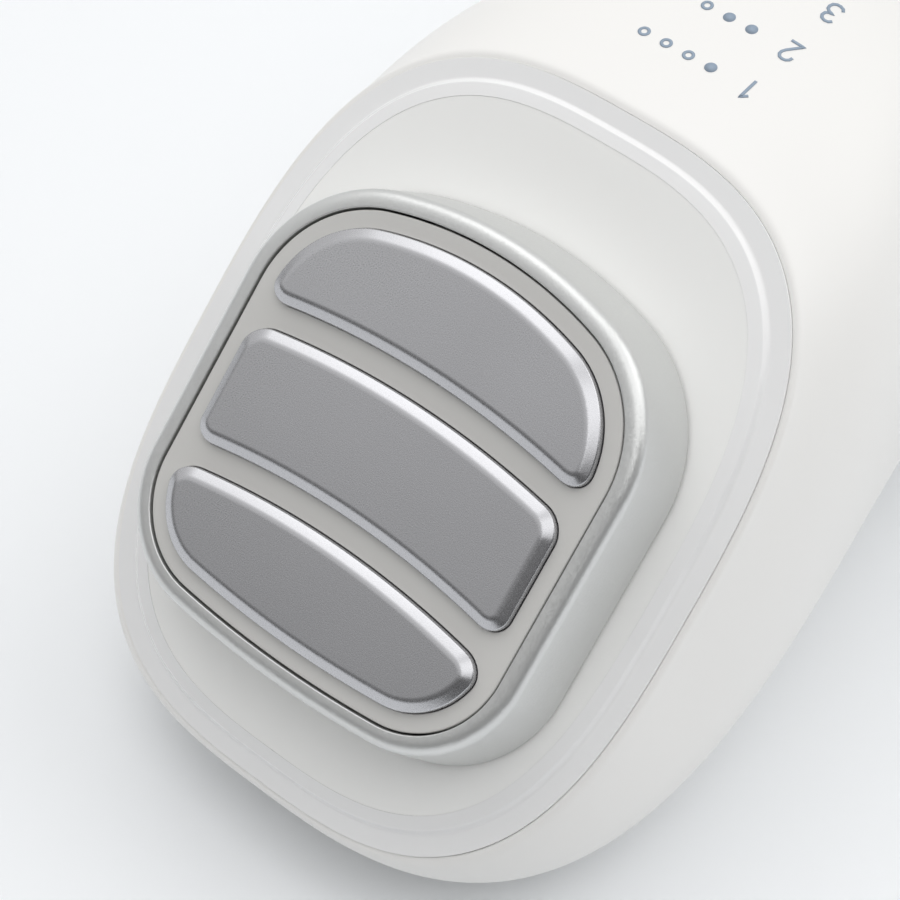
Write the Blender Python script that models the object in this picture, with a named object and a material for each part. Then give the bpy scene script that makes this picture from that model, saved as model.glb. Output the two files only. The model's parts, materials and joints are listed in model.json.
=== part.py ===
"""A handheld facial scrubber with three contact plates, modelled lying on its back.

The tip of the head points to -Y, the handle runs to +Y, and the table is at z = 0. Sizes are metres.
The head's pieces are drawn in the plane of the clear ring: u across, v towards the handle, h out of the face.
"""
import math

import bmesh
import bpy

MM = 0.001

# Clearances
FIT = 0.3 * MM                       # between pieces that touch
OVERCUT = 1.0 * MM                   # how far a cutter runs past the surface it cuts

# Face plane
FACE_TILT = math.radians(43.0)       # the face leans forward from level
FACE_HEIGHT = 27.6 * MM              # middle of the insert above the table

# Clear ring
RING_HALF_WIDTH = 23.4 * MM
RING_UPPER = 29.6 * MM               # reach towards the handle from the widest line
RING_LOWER = 28.1 * MM               # reach towards the tip from the widest line
RING_WIDEST = 0.6 * MM               # the widest line, from the middle of the insert
RING_UPPER_POWER = 2.95              # squareness of the two ends
RING_LOWER_POWER = 2.95
RING_BAND = 2.2 * MM
RING_PROUD = 1.2 * MM
RING_ROUND = 0.8 * MM
RING_FLANGE = 1.6 * MM
RING_FLANGE_THICK = 1.0 * MM
SEAT_DEPTH = 3.0 * MM                # the ring's seat below the face plane
SEAT_THICK = 1.6 * MM
SEAT_REACH = 3.5 * MM                # the seat's inner edge, in from the ring's outline
SEAT_ROOT = 0.6 * MM                 # where the wall leaves the seat, in from the ring's outline

# Deck inside the ring
DECK_TOP = 0.8 * MM
DECK_THICK = 2.2 * MM

# Insert, bezel and contact plates
INSERT_HALF_WIDTH = 16.6 * MM
INSERT_HALF_HEIGHT = 17.2 * MM
INSERT_TOP_ARC = 33.9 * MM
INSERT_TOP_CORNER = 9.8 * MM
INSERT_LOW_ARC = 94.0 * MM
INSERT_LOW_CORNER = 7.75 * MM
INSERT_FACE = 7.6 * MM
INSERT_WALL = 1.6 * MM
INSERT_ROOF = 1.8 * MM
NECK_STEP = 1.5 * MM                 # the insert's neck, in from its outline
NECK_SHOULDER = 2.4 * MM             # height of the shoulder over the neck
BEZEL_FOOT = 2.3 * MM                # out from the insert's outline
BEZEL_WALL = 1.7 * MM
BEZEL_RIM = 1.5 * MM
BEZEL_CROWN = 0.45 * MM              # the rim's crown over the insert's face
BEZEL_FLARE = 1.5 * MM               # height of the flared foot
BEZEL_ROUND = 0.95 * MM              # height of the crowned rim
BEZEL_LAND = 0.5 * MM                # the crown's highest line, out from the insert's outline
BEZEL_LIP = 0.35 * MM                # fall from the crown to the insert
SEAL_THICK = 1.0 * MM
SEAL_INSET = 0.2 * MM
PLATE_MARGIN = 1.55 * MM             # from the insert's outline to a contact plate
PLATE_PROUD = 1.0 * MM
PLATE_POCKET = 0.7 * MM
PLATE_CORNER = 1.1 * MM
PLATE_EDGE = 0.8 * MM                # rounding of a plate's upper edge
PLATE_SAG = 1.45 * MM                # bow of the gaps between plates
UPPER_GAP = 4.4 * MM                 # middle of the gap over the middle plate, at its ends
LOWER_GAP = -7.6 * MM                # middle of the gap under the middle plate, at its ends
GAP_WIDTH = 2.1 * MM
STUD_RADIUS = 1.5 * MM
STUD_FOOT = 1.0 * MM                 # height of a stud's lower end
PIN_RADIUS = 1.3 * MM
PIN_TIP_RADIUS = 0.7 * MM
PIN_BODY = 2.0 * MM

# Behind the face
BOARD_THICK = 1.2 * MM
RETAINER_THICK = 1.5 * MM
RETAINER_INSET = 2.6 * MM
HEAD_BOARD_HALF_WIDTH = 8.5 * MM
LED_SIZE = 2.0 * MM
LED_THICK = 0.9 * MM
HEAD_BOSS_RADIUS = 2.3 * MM
HEAD_BOSS_U = 11.4 * MM
HEAD_BOSS_UPPER = 8.6 * MM
HEAD_BOSS_LOWER = -10.6 * MM
SCREW_RADIUS = 1.0 * MM
SCREW_HEAD_RADIUS = 1.9 * MM
SCREW_HEAD_THICK = 1.2 * MM
HEAD_SCREW_GRIP = 6.0 * MM           # how far a screw runs into its boss

# Body skin
WALL = 2.2 * MM
BODY_LIP = 0.8 * MM                  # the shell's edge beyond the ring's outline
NECK_Y = 44.0 * MM                   # where the upright handle sections start
HANDLE_LENGTH = 84.0 * MM
TAIL_LENGTH = 36.0 * MM
CHIN_DROP = 11.2 * MM                # pull of the chin's curve below the tip
CHIN_BACK = 3.4 * MM
HEEL_Y = 17.7 * MM
BROW_RUN = 8.0 * MM
BROW_RISE = math.radians(5.0)
HEAD_SWELL = 25.4 * MM               # half widths that pull the head's sides out
HEAD_CHEEK = 29.1 * MM
HEAD_WIDEST = 0.174                  # pull of the widest line towards the chin, as a share of the height
BROW_POWER = 3.46                    # squareness of the head's sections behind the face
CHIN_POWER = 3.62
NECK_HALF_WIDTH = 21.7 * MM
GRIP_HALF_WIDTH = 20.0 * MM
PALM_HALF_WIDTH = 20.4 * MM
TAIL_HALF_WIDTH = 10.5 * MM
NECK_TOP = 50.6 * MM
GRIP_TOP = 53.2 * MM
PALM_TOP = 50.5 * MM
REAR_TOP = 44.5 * MM
TAIL_TOP = 27.0 * MM
NECK_UNDER = 3.4 * MM
GRIP_UNDER = 9.5 * MM
PALM_UNDER = 8.0 * MM
REAR_UNDER = 0.2 * MM
TAIL_SINK = 6.0 * MM
TAIL_UNDER = 13.0 * MM
TAIL_ROUND = 9.5 * MM                # length of the upright pull at the tail's end
HANDLE_POWER = 2.5
PART_LINE = 10.0 * MM                # height of the joint between shell and rear cover
COVER_START = 24.0 * MM
HEAD_STEPS = 9
SEAT_STEP = 4                        # first head section whose inner face clears the seat
HANDLE_STEPS = 6
TAIL_STEPS = 7
OUTLINE_STEPS = 48

# Chassis and electronics
CHASSIS_DROP = 9.7 * MM              # the chassis below the key board
CHASSIS_THICK = 2.0 * MM
CHASSIS_HALF_WIDTH = 15.0 * MM
CHASSIS_START = 34.0 * MM
CHASSIS_END = 136.0 * MM
BOSS_RADIUS = 2.6 * MM
BOSS_X = 12.0 * MM
FRONT_BOSS_Y = 46.5 * MM
REAR_BOSS_Y = 125.0 * MM
BOSS_ROOT = 1.0 * MM                 # how far a boss runs into the wall
CHASSIS_SCREW_GRIP = 5.0 * MM
POST_X = 7.5 * MM
FRONT_POST_Y = 55.0 * MM
REAR_POST_Y = 131.0 * MM
POST_FOOT = 17.0 * MM
COVER_HEAD_DEPTH = 1.6 * MM
MAIN_BOARD_HALF_WIDTH = 8.8 * MM
MAIN_BOARD_START = 46.0 * MM
MAIN_BOARD_LENGTH = 72.0 * MM
CHIP_SIZE = 9.0 * MM
CHIP_THICK = 1.2 * MM
CHIP_Y = 66.0 * MM
COIL_RADIUS = 5.0 * MM
COIL_HEIGHT = 5.0 * MM
COIL_Y = 92.0 * MM
BATTERY_HALF_WIDTH = 13.5 * MM
BATTERY_THICK = 10.5 * MM
BATTERY_ROUND = 2.0 * MM
BATTERY_START = 62.0 * MM
BATTERY_LENGTH = 56.0 * MM
PAD_THICK = 1.0 * MM
KEY_DEPTH = 10.8 * MM                # the key board below the lowest button's skin
KEY_BOARD_HALF_WIDTH = 13.0 * MM
KEY_BOARD_START = 50.5 * MM
KEY_BOARD_LENGTH = 56.0 * MM
PILLAR_X = 11.4 * MM
PILLAR_SIZE = 3.0 * MM
RIBBON_HALF_WIDTH = 4.0 * MM
RIBBON_THICK = 0.5 * MM
RIBBON_V = 7.0 * MM
RIBBON_LAP = 5.0 * MM
RIBBON_DROP = 3.0 * MM               # straight drop behind the retainer
RIBBON_RUN = 16.0 * MM               # level run in front of the main board
SLOT_MARGIN = 0.8 * MM

# Controls
MODE_Y = 59.0 * MM
LEVEL_Y = 75.0 * MM
POWER_Y = 89.5 * MM
MODE_HALF = (6.5 * MM, 5.0 * MM)
LEVEL_HALF = (4.6 * MM, 4.6 * MM)
POWER_HALF = (3.8 * MM, 3.8 * MM)
BUTTON_POWER = 2.3
BUTTON_PROUD = 0.8 * MM
BUTTON_EDGE = 0.35 * MM
BUTTON_CROWN = 1.2 * MM
BUTTON_FLANGE = 1.1 * MM
BUTTON_FLANGE_THICK = 1.0 * MM
BUTTON_DROP = 1.0 * MM               # extra room between a flange and the curved wall
BUTTON_TRAVEL = 0.5 * MM
STEM_RADIUS = 1.4 * MM
SWITCH_SIZE = 6.0 * MM
SWITCH_THICK = 3.5 * MM
LENS_Y = 101.0 * MM
LENS_HALF = (6.0 * MM, 1.2 * MM)

# Vibration motor
MOTOR_Y = 41.0 * MM
MOTOR_RADIUS = 5.0 * MM
MOTOR_LENGTH = 14.0 * MM
MOTOR_CHAMFER = 0.6 * MM
MOTOR_LEFT = -9.0 * MM
SHAFT_RADIUS = 0.8 * MM
SHAFT_LENGTH = 7.0 * MM
WEIGHT_RADIUS = 4.4 * MM
WEIGHT_THICK = 4.5 * MM
WEIGHT_HUB = 1.7 * MM
CHEEK_THICK = 1.4 * MM

# Charging inlet
PLUG_HALF_WIDTH = 4.5 * MM
PLUG_HALF_HEIGHT = 1.65 * MM
SOCKET_LENGTH = 8.0 * MM
SOCKET_WALL = 0.35 * MM
TONGUE_HALF_WIDTH = 3.0 * MM
TONGUE_THICK = 0.7 * MM
TAIL_PLATE_THICK = 3.0 * MM
SHELF_LENGTH = 11.0 * MM
SHELF_THICK = 1.4 * MM
CHARGE_BOARD_HALF_WIDTH = 6.0 * MM

FACE_COS = math.cos(FACE_TILT)
FACE_SIN = math.sin(FACE_TILT)
TAIL_START = NECK_Y + HANDLE_LENGTH
TAIL_END = TAIL_START + TAIL_LENGTH


# Outlines and curves

def bezier(a, b, c, d, t):
    """A cubic curve from a to d, pulled towards b and c."""
    s = 1.0 - t
    return s * s * s * a + 3.0 * s * s * t * b + 3.0 * s * t * t * c + t * t * t * d


def oval(half_u, half_v_up, half_v_down, power_up, power_down, count):
    """A rounded outline, with its own reach and squareness on either side of its widest line."""
    points = []
    for step in range(count):
        turn = 2.0 * math.pi * step / count
        c = math.cos(turn)
        s = math.sin(turn)
        power = power_up if s >= 0.0 else power_down
        reach = half_v_up if s >= 0.0 else half_v_down
        u = half_u * math.copysign(abs(c) ** (2.0 / power), c)
        v = reach * math.copysign(abs(s) ** (2.0 / power), s)
        points.append((u, v))
    return points


def ring_outline(grow):
    """The clear ring's outline, grown by a distance."""
    points = oval(RING_HALF_WIDTH + grow, RING_UPPER + grow, RING_LOWER + grow,
                  RING_UPPER_POWER, RING_LOWER_POWER, OUTLINE_STEPS)
    return [(u, v + RING_WIDEST) for u, v in points]


def insert_end(half, reach, arc, corner, grow):
    """One quarter of the insert: a corner arc and half of an end arc, from the side to the middle."""
    corner_r = corner + grow
    arc_r = arc + grow
    middle_v = reach - arc
    corner_v = middle_v + math.sqrt((arc - corner) ** 2 - (half - corner) ** 2)
    turn = math.atan2(corner_v - middle_v, half - corner)
    points = []
    for step in range(7):
        a = turn * step / 6
        points.append((half - corner + corner_r * math.cos(a), corner_v + corner_r * math.sin(a)))
    for step in range(1, 6):
        a = turn + (math.pi / 2.0 - turn) * step / 5
        points.append((arc_r * math.cos(a), middle_v + arc_r * math.sin(a)))
    return points


def insert_outline(grow):
    """The insert's outline, grown by a distance: straight sides, round corners and bowed ends."""
    upper = insert_end(INSERT_HALF_WIDTH, INSERT_HALF_HEIGHT, INSERT_TOP_ARC, INSERT_TOP_CORNER, grow)
    lower = insert_end(INSERT_HALF_WIDTH, INSERT_HALF_HEIGHT, INSERT_LOW_ARC, INSERT_LOW_CORNER, grow)
    right = [(u, -v) for u, v in reversed(lower)] + upper
    left = [(-u, v) for u, v in reversed(right)]
    return right + left[1:-1]


def circle(sides):
    """An outline function for round pieces, whose radius is the grow value."""
    turns = [2.0 * math.pi * k / sides for k in range(sides)]
    return lambda radius: [(radius * math.cos(a), radius * math.sin(a)) for a in turns]


def button_outline(half):
    """An outline function for a button of these half sizes."""
    return lambda grow: oval(half[0] + grow, half[1] + grow, half[1] + grow, BUTTON_POWER, BUTTON_POWER, 24)


def gap_arc(end_v, half):
    """The bowed edge of a contact plate, from the right end to the left."""
    radius = (half * half + PLATE_SAG * PLATE_SAG) / (2.0 * PLATE_SAG)
    drop = radius - PLATE_SAG
    spread = math.asin(half / radius)
    points = []
    for step in range(11):
        a = spread * (1.0 - step / 5.0)
        points.append((radius * math.sin(a), end_v - drop + radius * math.cos(a)))
    return points


def soften(points, sharp, reach):
    """Rounds the sharp corners of an outline with short curves."""
    rounded = []
    for k, (u, v) in enumerate(points):
        if k not in sharp:
            rounded.append((u, v))
            continue
        before = points[k - 1]
        after = points[(k + 1) % len(points)]
        ends = []
        for other in (before, after):
            span = math.hypot(other[0] - u, other[1] - v)
            share = min(reach / span, 0.49)
            ends.append((u + (other[0] - u) * share, v + (other[1] - v) * share))
        for t in (0.0, 0.33, 0.67, 1.0):
            s = 1.0 - t
            rounded.append((s * s * ends[0][0] + 2.0 * s * t * u + t * t * ends[1][0],
                            s * s * ends[0][1] + 2.0 * s * t * v + t * t * ends[1][1]))
    return rounded


def offset(points, grow):
    """An outline moved outwards by a distance, corner by corner."""
    moved = []
    for k, (u, v) in enumerate(points):
        normals = []
        for a, b in ((points[k - 1], (u, v)), ((u, v), points[(k + 1) % len(points)])):
            span = math.hypot(b[0] - a[0], b[1] - a[1])
            normals.append(((b[1] - a[1]) / span, (a[0] - b[0]) / span))
        first, second = normals
        share = grow / (1.0 + first[0] * second[0] + first[1] * second[1])
        moved.append((u + share * (first[0] + second[0]), v + share * (first[1] + second[1])))
    return moved


def plate_outline(which):
    """An outline function for a contact plate: upper, middle or lower."""
    half = INSERT_HALF_WIDTH - PLATE_MARGIN
    edge = GAP_WIDTH / 2.0
    if which == "middle":
        arc = gap_arc(UPPER_GAP - edge, half)
        points = arc + gap_arc(LOWER_GAP + edge, half)[::-1]
        sharp = {0, len(arc) - 1, len(arc), len(points) - 1}
    elif which == "upper":
        arc = gap_arc(UPPER_GAP + edge, half)[::-1]
        points = arc + [p for p in insert_outline(-PLATE_MARGIN) if p[1] > UPPER_GAP + edge]
        sharp = {0, len(arc) - 1}
    else:
        arc = gap_arc(LOWER_GAP - edge, half)
        rim = [p for p in insert_outline(-PLATE_MARGIN) if p[1] < LOWER_GAP - edge]
        start = max(range(len(rim)), key=lambda k: rim[k][1] - rim[k][0])
        points = arc + rim[start:] + rim[:start]
        sharp = {0, len(arc) - 1}
    base = soften(points, sharp, PLATE_CORNER)
    return lambda grow: offset(base, grow)


# Body sections

def on_face(v, h):
    """Where a point of the head's middle plane lies on the device, as (y, z)."""
    return v * FACE_COS - h * FACE_SIN, FACE_HEIGHT + v * FACE_SIN + h * FACE_COS


def face_ring(grow, h):
    """The clear ring's outline, grown by a distance, at a height over the face plane."""
    return [(u, *on_face(v, h)) for u, v in ring_outline(grow)]


def head_path(t):
    """Top and bottom of a head section, as (y, z) pairs: t = 0 lies in the face plane."""
    brow = on_face(RING_WIDEST + RING_UPPER + BODY_LIP, 0.0)
    tip = on_face(RING_WIDEST - RING_LOWER - BODY_LIP, 0.0)
    run = (NECK_Y - brow[0]) / 3.0
    neck_slope = (GRIP_TOP - NECK_TOP) * 3.0 / HANDLE_LENGTH
    under_slope = (GRIP_UNDER - NECK_UNDER) * 3.0 / HANDLE_LENGTH
    heel_pull = NECK_Y - HEEL_Y
    leave = (brow[0] + BROW_RUN * math.cos(BROW_RISE), brow[1] + BROW_RUN * math.sin(BROW_RISE))
    heel_z = NECK_UNDER - heel_pull * under_slope
    top = (bezier(brow[0], leave[0], NECK_Y - run, NECK_Y, t),
           bezier(brow[1], leave[1], NECK_TOP - run * neck_slope, NECK_TOP, t))
    bottom = (bezier(tip[0], tip[0] + CHIN_BACK, HEEL_Y, NECK_Y, t),
              bezier(tip[1], tip[1] - CHIN_DROP, heel_z, NECK_UNDER, t))
    return top, bottom


def handle_z(y):
    """Top and bottom heights and half width of the handle at a distance along it."""
    t = (y - NECK_Y) / HANDLE_LENGTH
    return (bezier(NECK_TOP, GRIP_TOP, PALM_TOP, REAR_TOP, t),
            bezier(NECK_UNDER, GRIP_UNDER, PALM_UNDER, REAR_UNDER, t),
            bezier(NECK_HALF_WIDTH, GRIP_HALF_WIDTH, PALM_HALF_WIDTH, PALM_HALF_WIDTH, t))


def body_stations():
    """Each section as top, bottom, half width, place of the widest line and the two powers."""
    stations = []
    ring_widest = (RING_LOWER + BODY_LIP) / (RING_LOWER + RING_UPPER + 2.0 * BODY_LIP)
    for step in range(HEAD_STEPS):
        t = (step / HEAD_STEPS) ** 1.3
        top, bottom = head_path(t)
        ease = math.sin(t * math.pi / 2.0)
        half = bezier(RING_HALF_WIDTH + BODY_LIP, HEAD_SWELL, HEAD_CHEEK, NECK_HALF_WIDTH, ease)
        widest = bezier(ring_widest, HEAD_WIDEST, 0.5, 0.5, t)
        up = bezier(RING_UPPER_POWER, BROW_POWER, HANDLE_POWER, HANDLE_POWER, t)
        down = bezier(RING_LOWER_POWER, CHIN_POWER, HANDLE_POWER, HANDLE_POWER, t)
        stations.append((top, bottom, half, widest, up, down))
    for step in range(HANDLE_STEPS):
        y = NECK_Y + HANDLE_LENGTH * step / HANDLE_STEPS
        high, low, half = handle_z(y)
        stations.append(((y, high), (y, low), half, 0.5, HANDLE_POWER, HANDLE_POWER))
    reach = TAIL_LENGTH / 2.0
    fall = (REAR_TOP - PALM_TOP) * 3.0 / HANDLE_LENGTH * reach
    for step in range(TAIL_STEPS + 1):
        t = math.sin(step / TAIL_STEPS * math.pi / 2.0)
        y = bezier(TAIL_START, TAIL_START + reach, TAIL_END, TAIL_END, t)
        high = bezier(REAR_TOP, REAR_TOP + fall, TAIL_TOP + TAIL_ROUND, TAIL_TOP, t)
        low = bezier(REAR_UNDER, REAR_UNDER - TAIL_SINK, TAIL_UNDER - TAIL_ROUND, TAIL_UNDER, t)
        half = bezier(PALM_HALF_WIDTH, PALM_HALF_WIDTH, TAIL_HALF_WIDTH + TAIL_ROUND, TAIL_HALF_WIDTH, t)
        stations.append(((y, high), (y, low), half, 0.5, HANDLE_POWER, HANDLE_POWER))
    return stations


def section(station, inset):
    """One section of the body as (x, y, z) points, moved in by a wall and cut flat at the table."""
    top, bottom, half, widest, up, down = station
    rise_y = top[0] - bottom[0]
    rise_z = top[1] - bottom[1]
    height = math.hypot(rise_y, rise_z)
    dir_y = rise_y / height
    dir_z = rise_z / height
    middle = height * widest
    points = []
    for x, v in oval(half - inset, height - middle - inset, middle - inset, up, down, OUTLINE_STEPS):
        z = bottom[1] + dir_z * (middle + v)
        points.append((x, bottom[0] + dir_y * (middle + v), max(z, inset)))
    return points


def body_middle():
    """Half way between the front of the chin and the end of the tail."""
    front = min(y for station in body_stations() for x, y, z in section(station, 0.0))
    return (front + TAIL_END) / 2.0


def top_at(x, y, inset):
    """Height of the handle's upper skin, or of its inner face, over a point."""
    high, low, half = handle_z(y)
    reach = (high - low) / 2.0 - inset
    share = min(abs(x) / (half - inset), 1.0) ** HANDLE_POWER
    return (high + low) / 2.0 + reach * (1.0 - share) ** (1.0 / HANDLE_POWER)


def under_at(x, y, inset):
    """Height of the handle's lower skin, or of its inner face, over a point."""
    if y > TAIL_START:
        return inset
    high, low, half = handle_z(y)
    reach = (high - low) / 2.0 - inset
    share = min(abs(x) / (half - inset), 1.0) ** HANDLE_POWER
    return max((high + low) / 2.0 - reach * (1.0 - share) ** (1.0 / HANDLE_POWER), inset)


def top_pitch(y):
    """Slope angle of the handle's upper line."""
    step = 0.5 * MM
    return math.atan2(handle_z(y + step)[0] - handle_z(y - step)[0], 2.0 * step)


# Building blocks

def look(name, colour, roughness, metallic=0.0):
    """A plain material for one piece."""
    material = bpy.data.materials.new(name)
    material.use_nodes = True
    shader = material.node_tree.nodes["Principled BSDF"]
    shader.inputs["Base Color"].default_value = (*colour, 1.0)
    shader.inputs["Roughness"].default_value = roughness
    shader.inputs["Metallic"].default_value = metallic
    material.diffuse_color = (*colour, 1.0)
    return material


def skin(bm, rings, closed):
    """Joins rings of equal length with quads. A closed stack joins last to first, an open one is capped."""
    rows = [[bm.verts.new(p) for p in ring] for ring in rings]
    count = len(rows[0])
    for k in range(len(rows) if closed else len(rows) - 1):
        low = rows[k]
        high = rows[(k + 1) % len(rows)]
        for i in range(count):
            j = (i + 1) % count
            bm.faces.new((low[i], low[j], high[j], high[i]))
    if not closed:
        bm.faces.new(rows[0][::-1])
        bm.faces.new(rows[-1])


def finish(name, bm, material, parent, place=(0.0, 0.0, 0.0), turn=(0.0, 0.0, 0.0)):
    """Turns a bmesh into a named object under its parent."""
    bmesh.ops.recalc_face_normals(bm, faces=bm.faces)
    mesh = bpy.data.meshes.new(name)
    bm.to_mesh(mesh)
    bm.free()
    mesh.shade_smooth()
    mesh.set_sharp_from_angle(angle=math.radians(35.0))
    mesh.materials.append(material)
    piece = bpy.data.objects.new(name, mesh)
    bpy.context.scene.collection.objects.link(piece)
    piece.parent = parent
    piece.location = place
    piece.rotation_euler = turn
    return piece


def stack(outline, profile, closed=False):
    """A solid skinned over one outline at several (grow, height) steps."""
    bm = bmesh.new()
    skin(bm, [[(u, v, h) for u, v in outline(grow)] for grow, h in profile], closed)
    return bm


def block(low, high):
    """A box between two corners."""
    bm = bmesh.new()
    bmesh.ops.create_cube(bm, size=1.0)
    for vert in bm.verts:
        vert.co = [low[i] + (vert.co[i] + 0.5) * (high[i] - low[i]) for i in range(3)]
    return bm


def side_strip(path, half_width, thick):
    """A flat strip that follows (y, z) points, with its width across the device."""
    rings = []
    for k, (y, z) in enumerate(path):
        back = path[max(k - 1, 0)]
        ahead = path[min(k + 1, len(path) - 1)]
        span = math.hypot(ahead[0] - back[0], ahead[1] - back[1])
        off_y = -(ahead[1] - back[1]) / span * thick / 2.0
        off_z = (ahead[0] - back[0]) / span * thick / 2.0
        rings.append([(-half_width, y - off_y, z - off_z), (half_width, y - off_y, z - off_z),
                      (half_width, y + off_y, z + off_z), (-half_width, y + off_y, z + off_z)])
    bm = bmesh.new()
    skin(bm, rings, False)
    return bm


def carve(target, tools, operation="DIFFERENCE"):
    """Cuts tools from a piece, or joins them to it, and keeps the result as the piece's mesh."""
    for tool in tools:
        step = target.modifiers.new(tool.name, "BOOLEAN")
        step.operation = operation
        step.solver = "EXACT"
        step.object = tool
    bpy.context.view_layer.update()
    graph = bpy.context.evaluated_depsgraph_get()
    shape = bpy.data.meshes.new_from_object(target.evaluated_get(graph))
    target.modifiers.clear()
    target.data = shape
    shape.set_sharp_from_angle(angle=math.radians(35.0))
    for tool in tools:
        bpy.data.objects.remove(tool)


def empty(name, parent, place=(0.0, 0.0, 0.0), turn=(0.0, 0.0, 0.0)):
    """A guide that carries pieces."""
    guide = bpy.data.objects.new(name, None)
    bpy.context.scene.collection.objects.link(guide)
    guide.parent = parent
    guide.location = place
    guide.rotation_euler = turn
    return guide


# Heights behind the face, from the front to the back
SEAT_TOP = -SEAT_DEPTH
SEAT_FOOT = SEAT_TOP - SEAT_THICK
DECK_FOOT = DECK_TOP - DECK_THICK
RETAINER_TOP = SEAT_FOOT - FIT
RETAINER_FOOT = RETAINER_TOP - RETAINER_THICK
STACK_FOOT = RETAINER_TOP + FIT      # lower face of what rests on the retainer

# Heights inside the handle, from the top down
KEY_BOARD_TOP = min(top_at(0.0, y, 0.0) for y in (MODE_Y, LEVEL_Y, POWER_Y)) - KEY_DEPTH
CHASSIS_TOP = KEY_BOARD_TOP - CHASSIS_DROP
BATTERY_TOP = CHASSIS_TOP - CHASSIS_THICK - FIT - PAD_THICK - FIT
MOTOR_Z = CHASSIS_TOP - CHASSIS_THICK - FIT - MOTOR_RADIUS
PLATES = ("upper", "middle", "lower")


def stud_v(which):
    """Where a plate's stud stands."""
    end = INSERT_HALF_HEIGHT - PLATE_MARGIN
    upper = (UPPER_GAP + GAP_WIDTH / 2.0 + PLATE_SAG + end) / 2.0
    lower = (LOWER_GAP - GAP_WIDTH / 2.0 + PLATE_SAG - end) / 2.0
    return {"upper": upper, "middle": (UPPER_GAP + LOWER_GAP) / 2.0 + PLATE_SAG, "lower": lower}[which]


def head_boss_places():
    """Where the head's screws go, as (u, v)."""
    return [(side * HEAD_BOSS_U, v) for v in (HEAD_BOSS_UPPER, HEAD_BOSS_LOWER) for side in (-1.0, 1.0)]


def chassis_boss_places():
    """Where the chassis is screwed to the front shell, as (x, y)."""
    return [(side * BOSS_X, y) for y in (FRONT_BOSS_Y, REAR_BOSS_Y) for side in (-1.0, 1.0)]


def cover_post_places():
    """Where the rear cover is screwed to the chassis, as (x, y)."""
    return [(side * POST_X, y) for y in (FRONT_POST_Y, REAR_POST_Y) for side in (-1.0, 1.0)]


# Casing

def body_tube(name, material, device):
    """The hollow body from the face to the tail, open at both ends, with the ring's seat in its mouth."""
    stations = body_stations()
    outer = [section(station, 0.0) for station in stations]
    inner = [section(station, WALL) for station in stations[SEAT_STEP:]]
    seat = [face_ring(-SEAT_ROOT, SEAT_FOOT), face_ring(-SEAT_REACH, SEAT_FOOT),
            face_ring(-SEAT_REACH, SEAT_TOP), face_ring(FIT, SEAT_TOP), face_ring(FIT, 0.0)]
    bm = bmesh.new()
    skin(bm, outer + inner[::-1] + seat, True)
    return finish(name, bm, material, device)


def cover_cutter(name, device, gap):
    """The part of the body that the rear cover takes up, less a gap."""
    low = (-2.0 * NECK_HALF_WIDTH, COVER_START + gap, -OVERCUT)
    high = (2.0 * NECK_HALF_WIDTH, TAIL_END + OVERCUT, PART_LINE - gap)
    return finish(name, block(low, high), look(name, (0.5, 0.5, 0.5), 0.5), device)


def make_front_shell(device):
    """White housing of the head and handle, with the screw bosses and button openings."""
    white = look("white_shell", (0.86, 0.855, 0.84), 0.42)
    shell = body_tube("front_shell", white, device)
    bosses = []
    cuts = [cover_cutter("cover_space", device, 0.0)]
    for x, y in chassis_boss_places():
        root = top_at(abs(x) + BOSS_RADIUS, y + BOSS_RADIUS, WALL) + BOSS_ROOT
        boss = stack(circle(12), [(BOSS_RADIUS, CHASSIS_TOP + FIT), (BOSS_RADIUS, root)])
        bosses.append(finish("boss", boss, white, device, (x, y, 0.0)))
        hole = stack(circle(10), [(SCREW_RADIUS + FIT, CHASSIS_TOP - OVERCUT),
                                  (SCREW_RADIUS + FIT, CHASSIS_TOP + CHASSIS_SCREW_GRIP + OVERCUT)])
        cuts.append(finish("screw_hole", hole, white, device, (x, y, 0.0)))
    openings = ((MODE_HALF, MODE_Y), (LEVEL_HALF, LEVEL_Y), (POWER_HALF, POWER_Y), (LENS_HALF, LENS_Y))
    for half, y in openings:
        opening = stack(button_outline(half), [(FIT, -3.0 * WALL), (FIT, 2.0 * WALL)])
        place = (0.0, y, top_at(0.0, y, 0.0))
        cuts.append(finish("opening", opening, white, device, place, (top_pitch(y), 0.0, 0.0)))
    carve(shell, bosses, "UNION")
    carve(shell, cuts)


def cover_root(x, y):
    """A height within the rear cover's wall, under the whole foot of a screw tube."""
    ends = (y - BOSS_RADIUS, y + BOSS_RADIUS)
    skin_high = max(under_at(abs(x) + BOSS_RADIUS, end, 0.0) for end in ends)
    wall_low = min(under_at(abs(x) - BOSS_RADIUS, end, WALL) for end in ends)
    return (skin_high + wall_low) / 2.0


def make_rear_cover(device):
    """White back of the handle, with the tubes that its screws pass through."""
    white = look("white_cover", (0.85, 0.845, 0.83), 0.45)
    cover = body_tube("rear_cover", white, device)
    carve(cover, [cover_cutter("cover_part", device, FIT)], "INTERSECT")
    tubes = []
    cuts = []
    for x, y in cover_post_places():
        outside = under_at(x, y, 0.0)
        tube = stack(circle(12), [(BOSS_RADIUS, cover_root(x, y)), (BOSS_RADIUS, POST_FOOT - FIT)])
        tubes.append(finish("tube", tube, white, device, (x, y, 0.0)))
        ledge = outside + COVER_HEAD_DEPTH + SCREW_HEAD_THICK + FIT
        bore = stack(circle(12), [(SCREW_HEAD_RADIUS + FIT, outside - 2.0 * OVERCUT),
                                  (SCREW_HEAD_RADIUS + FIT, ledge),
                                  (SCREW_RADIUS + FIT, ledge),
                                  (SCREW_RADIUS + FIT, POST_FOOT + OVERCUT)])
        cuts.append(finish("bore", bore, white, device, (x, y, 0.0)))
    carve(cover, tubes, "UNION")
    carve(cover, cuts)


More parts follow.
